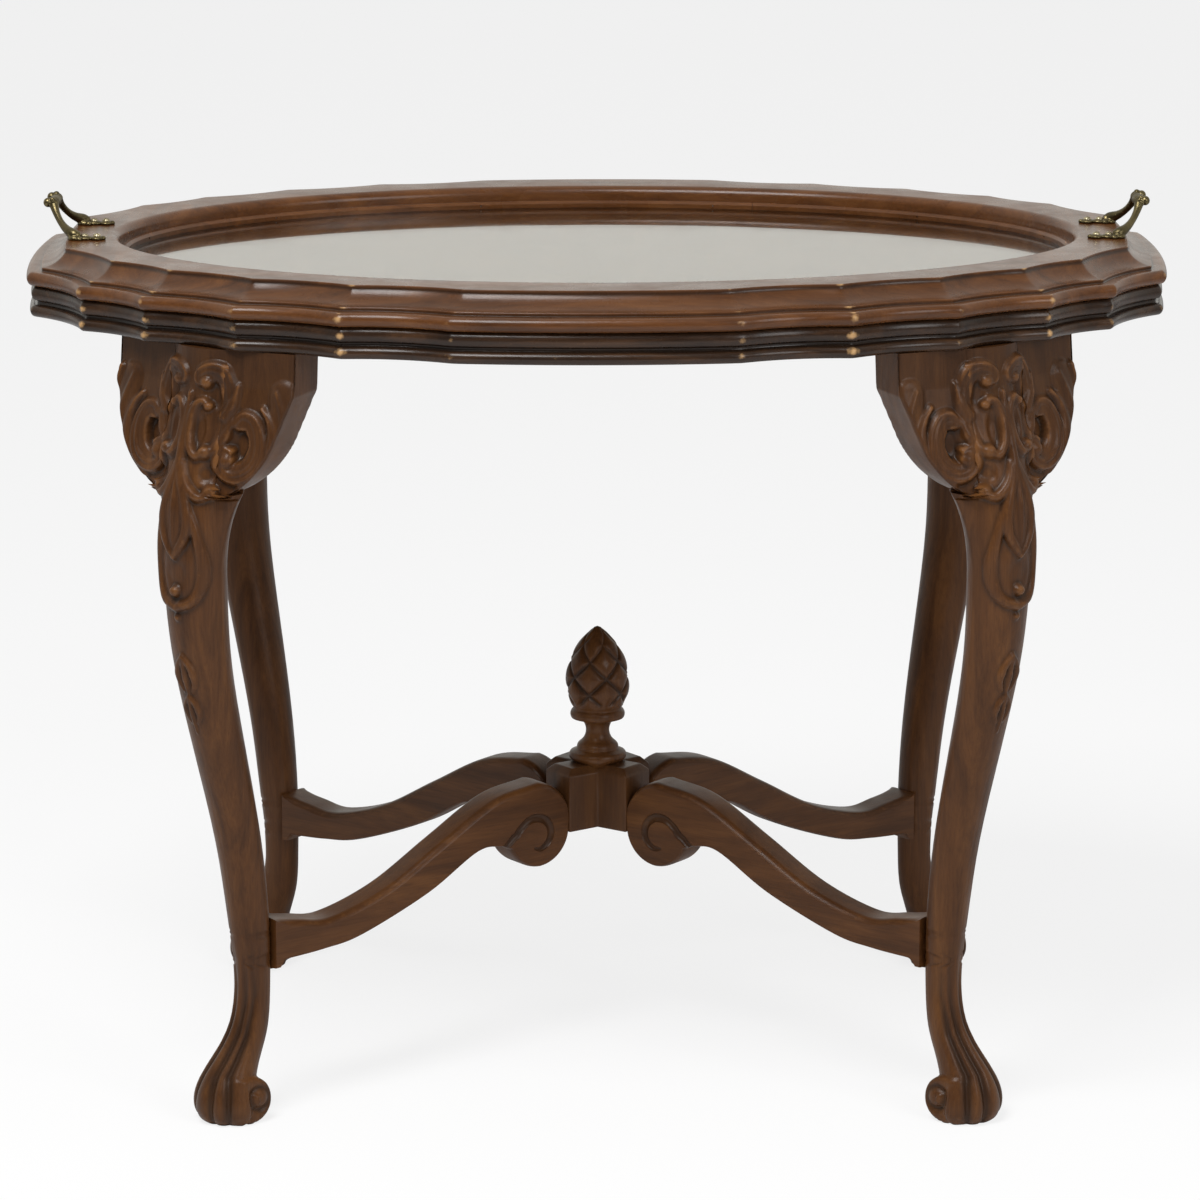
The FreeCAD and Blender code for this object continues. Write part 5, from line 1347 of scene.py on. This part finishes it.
def screw_tree():
    """Screws on points: a slotted round head over a shank, each slot turned its own way."""
    tree = bpy.data.node_groups.new("Slotted screws", "GeometryNodeTree")
    socket = tree.interface.new_socket
    socket("Geometry", in_out="INPUT", socket_type="NodeSocketGeometry")
    for label, value in (("Head radius", SCREW_HEAD_RADIUS), ("Head height", SCREW_HEAD_HEIGHT),
                         ("Shank radius", 1.5 * MM), ("Shank length", 12.0 * MM), ("Slot width", 0.8 * MM)):
        socket(label, in_out="INPUT", socket_type="NodeSocketFloat").default_value = value
    socket("Material", in_out="INPUT", socket_type="NodeSocketMaterial")
    socket("Geometry", in_out="OUTPUT", socket_type="NodeSocketGeometry")
    s = Shading(tree)
    given = s.add("NodeGroupInput").outputs
    radius, height, slot = given["Head radius"], given["Head height"], given["Slot width"]
    sphere = s.add("GeometryNodeMeshUVSphere", {"Segments": 28, "Rings": 18, "Radius": radius})
    flat = s.vector(X=1.0, Y=1.0, Z=s.maths(height, radius, "DIVIDE"))
    dome = moved(s, sphere.outputs["Mesh"], Scale=flat)
    wide = s.maths(radius, 4.0, "MULTIPLY")
    below = socket_box(s, (wide, wide, wide), s.maths(wide, -0.5, "MULTIPLY"))
    channel = socket_box(s, (wide, slot, height), s.maths(height, 0.95, "MULTIPLY"))
    head = s.add("GeometryNodeMeshBoolean", {"Mesh 1": dome}, operation="DIFFERENCE", solver="EXACT")
    for cutter in (below, channel):
        tree.links.new(cutter, head.inputs["Mesh 2"])
    shank = s.add("GeometryNodeMeshCylinder", {
        "Vertices": 20, "Radius": given["Shank radius"], "Depth": given["Shank length"]})
    drop = s.vector(Z=s.maths(given["Shank length"], -0.5, "MULTIPLY"))
    shank = moved(s, shank.outputs["Mesh"], Translation=drop)
    joined = s.add("GeometryNodeJoinGeometry")
    for part in (head.outputs["Mesh"], shank):
        tree.links.new(part, joined.inputs["Geometry"])
    turn = s.add("FunctionNodeRandomValue", {3: math.pi, "Seed": 11}, data_type="FLOAT")
    placed = s.add("GeometryNodeInstanceOnPoints", {
        "Points": given["Geometry"], "Instance": joined.outputs["Geometry"],
        "Rotation": s.vector(Z=turn.outputs[1])})
    real = s.add("GeometryNodeRealizeInstances", {"Geometry": placed.outputs["Instances"]})
    dressed = s.add("GeometryNodeSetMaterial", {
        "Geometry": real.outputs["Geometry"], "Material": given["Material"]})
    s.add("NodeGroupOutput", {"Geometry": dressed.outputs["Geometry"]})
    return tree


class TEATABLE_OT_handle_screws(bpy.types.Operator):
    """Set the eight slotted brass screws in the feet of the handles"""

    bl_idname = "teatable.handle_screws"
    bl_label = "Handle screws"

    def execute(self, context):
        low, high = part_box("handle_screws_right")
        head = SCREW_HEAD_RADIUS
        seat = high.z - SCREW_HEAD_HEIGHT
        places = []
        for side in (-1, 1):
            for x in (low.x + head, high.x - head):
                places += [(side * x, low.y + head, seat), (side * x, high.y - head, seat)]
        holder = new_object("screw_places", mesh_of("screw_places", places, [], {}))
        modifier = holder.modifiers.new("Screws", "NODES")
        modifier.node_group = screw_tree()
        for item in modifier.node_group.interface.items_tree:
            if item.in_out == "INPUT" and item.name == "Material":
                modifier[item.identifier] = screw_brass()
        mesh = worked_mesh(context, holder)
        mesh.shade_smooth()
        mesh.set_sharp_from_angle(angle=math.radians(35))
        piece = new_object("slotted_screws", mesh)
        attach(piece, "tray")
        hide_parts("handle_screws_left", "handle_screws_right")
        return {"FINISHED"}


# Finial

class TEATABLE_OT_finial(bpy.types.Operator):
    """Turn the finial and cut the spiral grooves of its pine cone"""

    bl_idname = "teatable.finial"
    bl_label = "Pine cone finial"

    def execute(self, context):
        p = sizes()
        tree = node_tree_of("finial")
        low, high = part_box("finial")
        hub_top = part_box("stretcher_hub")[1].z
        step = 0.5 * MM
        neck = hub_top + 40 * MM
        cone_low = hub_top + 41.5 * MM
        heights = np.concatenate([np.arange(hub_top + 0.0002, neck, step),
                                  np.arange(neck, high.z - 0.0008, step)])
        turns = np.linspace(0, 2 * math.pi, 220, endpoint=False)
        radii = []
        for height in heights:
            spot = tree.ray_cast(Vector((0.1, 0.0004, height)), Vector((-1, 0, 0)))[0]
            radii.append(math.hypot(spot.x, spot.y))
        radii = np.convolve(np.pad(radii, 2, mode="edge"), np.ones(5) / 5, mode="valid")
        share = (heights - cone_low) / (high.z - cone_low)
        climb = np.clip(share, 0, 1)[:, None]
        around = turns[None, :] / (2 * math.pi)
        depth = np.zeros((len(heights), len(turns)))
        cut_width, slope_width, slope_share = 0.09, 0.42, 0.55
        for way in (1, -1):
            place = p.cone_rows * (around + way * p.cone_turn * climb)
            gap = np.abs(place - np.round(place))
            groove = np.exp(-(gap / cut_width) ** 2) + slope_share * (1 - smooth_step(0.0, slope_width, gap))
            depth = np.maximum(depth, groove)
        cut = p.cone_groove * np.clip(radii / radii.max(), 0.3, 1)[:, None]
        depth = depth * cut * smooth_step(0.02, 0.1, climb) * (1 - 0.6 * smooth_step(0.85, 1.0, climb))
        across = np.maximum(radii[:, None] - depth, 0.0004)
        points = np.stack([across * np.cos(turns), across * np.sin(turns),
                           np.broadcast_to(heights[:, None], across.shape)], -1)
        wax_and_shade = np.clip(depth / p.cone_groove - 0.45, 0, 1)
        wear = np.clip(0.25 - depth / p.cone_groove, 0, 1) * (climb > 0.02)
        flat = np.vstack([points.reshape(-1, 3), (0, 0, low.z), (0, 0, high.z)])
        faces = capped_faces(*across.shape, False)
        add_piece("pine_cone_finial", flat, faces, upright_walnut(), "base", ["finial"],
                  marks_of(wear, wax_and_shade, 2), 60)
        return {"FINISHED"}


# Finishes of the pieces that keep their construction shape

class TEATABLE_OT_finishes(bpy.types.Operator):
    """Give the pieces that keep their construction shape their finishes"""

    bl_idname = "teatable.finishes"
    bl_label = "Finishes"

    def execute(self, context):
        c = colours()
        plain = timber("Plain wood", GRAIN_Z, c.plain, c.plain, c.bare, 0.6, 0.0)
        veneer = timber("Veneer", GRAIN_X, c.veneer_dark, c.veneer, c.veneer_light, 0.4, 0.2)
        by_start = (
            (plain, ("tray_rail_dowels", "glue_block", "leg_dowels", "stretcher_dowels", "hub_dowels")),
            (steel("Steel"), ("glazing_pins", "block_screws")),
            (clear_glass("Clear glass"), ("tray_glass",)),
            (tray_wood(True), ("tray_rail_front", "tray_rail_back", "glazing_bead")),
            (tray_wood(False), ("tray_rail_left", "tray_rail_right")),
            (screw_brass(), ("handle_screws",)),
            (old_brass(), ("handle_left", "handle_right")),
            (dark_wood(), ("fixed_top",)),
            (veneer, ("top_veneer",)),
            (slanted_walnut(1), ("stretcher_front_left", "stretcher_back_right")),
            (slanted_walnut(-1), ("stretcher_front_right", "stretcher_back_left")),
            (upright_walnut(), ("leg_", "ear_", "stretcher_hub", "finial")),
        )
        for name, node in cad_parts.items():
            material = next(found for found, starts in by_start if name.startswith(starts))
            node.data.materials.clear()
            node.data.materials.append(material)
        return {"FINISHED"}


# Stage

class TEATABLE_OT_stage(bpy.types.Operator):
    """Lay the pale floor, set the lights and the camera"""

    bl_idname = "teatable.stage"
    bl_label = "Stage"

    def execute(self, context):
        scene = context.scene
        self.lay_floor()
        self.light_world(scene)
        for light in LIGHTS:
            self.add_light(*light)
        self.add_camera(scene)
        scene.view_settings.view_transform = "Standard"
        return {"FINISHED"}

    def lay_floor(self):
        corners = [(-FLOOR_HALF, -FLOOR_HALF, 0), (FLOOR_HALF, -FLOOR_HALF, 0),
                   (FLOOR_HALF, FLOOR_HALF, 0), (-FLOOR_HALF, FLOOR_HALF, 0)]
        mesh = mesh_of("floor", corners, [(0, 1, 2, 3)], {})
        material, s = new_material("Floor")
        c = colours().floor
        tone = s.ramp(s.noise(s.place(), 3.0, 3.0), ((0.3, [0.99 * v for v in c]), (0.7, c)))
        shader = s.add("ShaderNodeBsdfPrincipled", {
            "Base Color": tone, "Roughness": 0.9, "Specular IOR Level": 0.1})
        pale = s.add("ShaderNodeEmission", {"Color": (*BACKDROP, 1.0), "Strength": 1.0})
        path = s.add("ShaderNodeLightPath").outputs
        seen = s.maths(path["Is Camera Ray"], path["Is Transmission Ray"], "MAXIMUM")
        mixed = s.add("ShaderNodeMixShader", {
            "Fac": s.span(seen, 0.0, 1.0, 0.0, 0.8), 1: shader.outputs["BSDF"], 2: pale.outputs["Emission"]})
        s.add("ShaderNodeOutputMaterial", {"Surface": mixed.outputs["Shader"]})
        mesh.materials.append(material)
        floor = new_object("floor", mesh)

    def light_world(self, scene):
        world = bpy.data.worlds.new("Pale room")
        scene.world = world
        world.use_nodes = True
        world.node_tree.nodes.clear()
        s = Shading(world.node_tree)
        path = s.add("ShaderNodeLightPath").outputs
        seen = s.maths(path["Is Camera Ray"], path["Is Glossy Ray"], "MAXIMUM")
        seen = s.maths(seen, path["Is Transmission Ray"], "MAXIMUM")
        way = s.add("ShaderNodeTexCoord").outputs["Generated"]
        behind = s.add("ShaderNodeSeparateXYZ", {"Vector": way}).outputs["Y"]
        stops = ((0.25, MIRRORED_FRONT), (0.55, MIRRORED_BACK), (1.0, MIRRORED_BACK))
        mirrored = s.ramp(s.span(behind, -1.0, 1.0, 0.0, 1.0), stops)
        backdrop = s.mix(path["Is Camera Ray"], mirrored, BACKDROP)
        room = s.add("ShaderNodeBackground", {"Color": ROOM_LIGHT, "Strength": 1.0})
        pale = s.add("ShaderNodeBackground", {"Color": backdrop, "Strength": 1.0})
        mixed = s.add("ShaderNodeMixShader", {"Fac": seen, 1: room.outputs[0], 2: pale.outputs[0]})
        s.add("ShaderNodeOutputWorld", {"Surface": mixed.outputs[0]})

    def add_light(self, name, place, size, power):
        data = bpy.data.lights.new(name, "AREA")
        data.energy = power
        data.size = size
        light = new_object(name, data)
        light.location = place
        aim = Vector(LIGHT_AIM) - Vector(place)
        light.rotation_euler = aim.to_track_quat("-Z", "Y").to_euler()

    def add_camera(self, scene):
        data = bpy.data.cameras.new("camera")
        data.lens = sizes().camera_lens
        data.sensor_width = 36.0
        camera = new_object("camera", data)
        turn = Matrix.Identity(3)
        for degrees, axis in CAMERA_TURNS:
            turn = turn @ Matrix.Rotation(math.radians(degrees), 3, axis)
        camera.rotation_euler = turn.to_euler()
        camera.location = CAMERA_PLACE
        scene.camera = camera


OPERATORS = (
    TEATABLE_OT_finishes, TEATABLE_OT_legs, TEATABLE_OT_ears, TEATABLE_OT_stretchers, TEATABLE_OT_hub,
    TEATABLE_OT_tray_rails, TEATABLE_OT_fixed_top, TEATABLE_OT_handles, TEATABLE_OT_handle_screws,
    TEATABLE_OT_finial, TEATABLE_OT_stage)


class TEATABLE_PT_panel(bpy.types.Panel):
    """Lists the steps that build the table"""

    bl_idname = "TEATABLE_PT_panel"
    bl_label = "Tea table"
    bl_space_type = "VIEW_3D"
    bl_region_type = "UI"
    bl_category = "Tea table"

    def draw(self, context):
        for operator in OPERATORS:
            self.layout.operator(operator.bl_idname)
        for group in (context.scene.tea_table_sizes, context.scene.tea_table_colours):
            for name in group.bl_rna.properties.keys():
                if name not in ("rna_type", "name"):
                    self.layout.prop(group, name)


CLASSES = (TeaTableSizes, TeaTableColours, *OPERATORS, TEATABLE_PT_panel)


def register():
    for item in CLASSES:
        bpy.utils.register_class(item)
    bpy.types.Scene.tea_table_sizes = PointerProperty(type=TeaTableSizes)
    bpy.types.Scene.tea_table_colours = PointerProperty(type=TeaTableColours)


def unregister():
    del bpy.types.Scene.tea_table_colours
    del bpy.types.Scene.tea_table_sizes
    for item in reversed(CLASSES):
        bpy.utils.unregister_class(item)


def main():
    register()
    for step in OPERATORS:
        group, name = step.bl_idname.split(".")
        getattr(getattr(bpy.ops, group), name)()


if __name__ == "__main__":
    main()
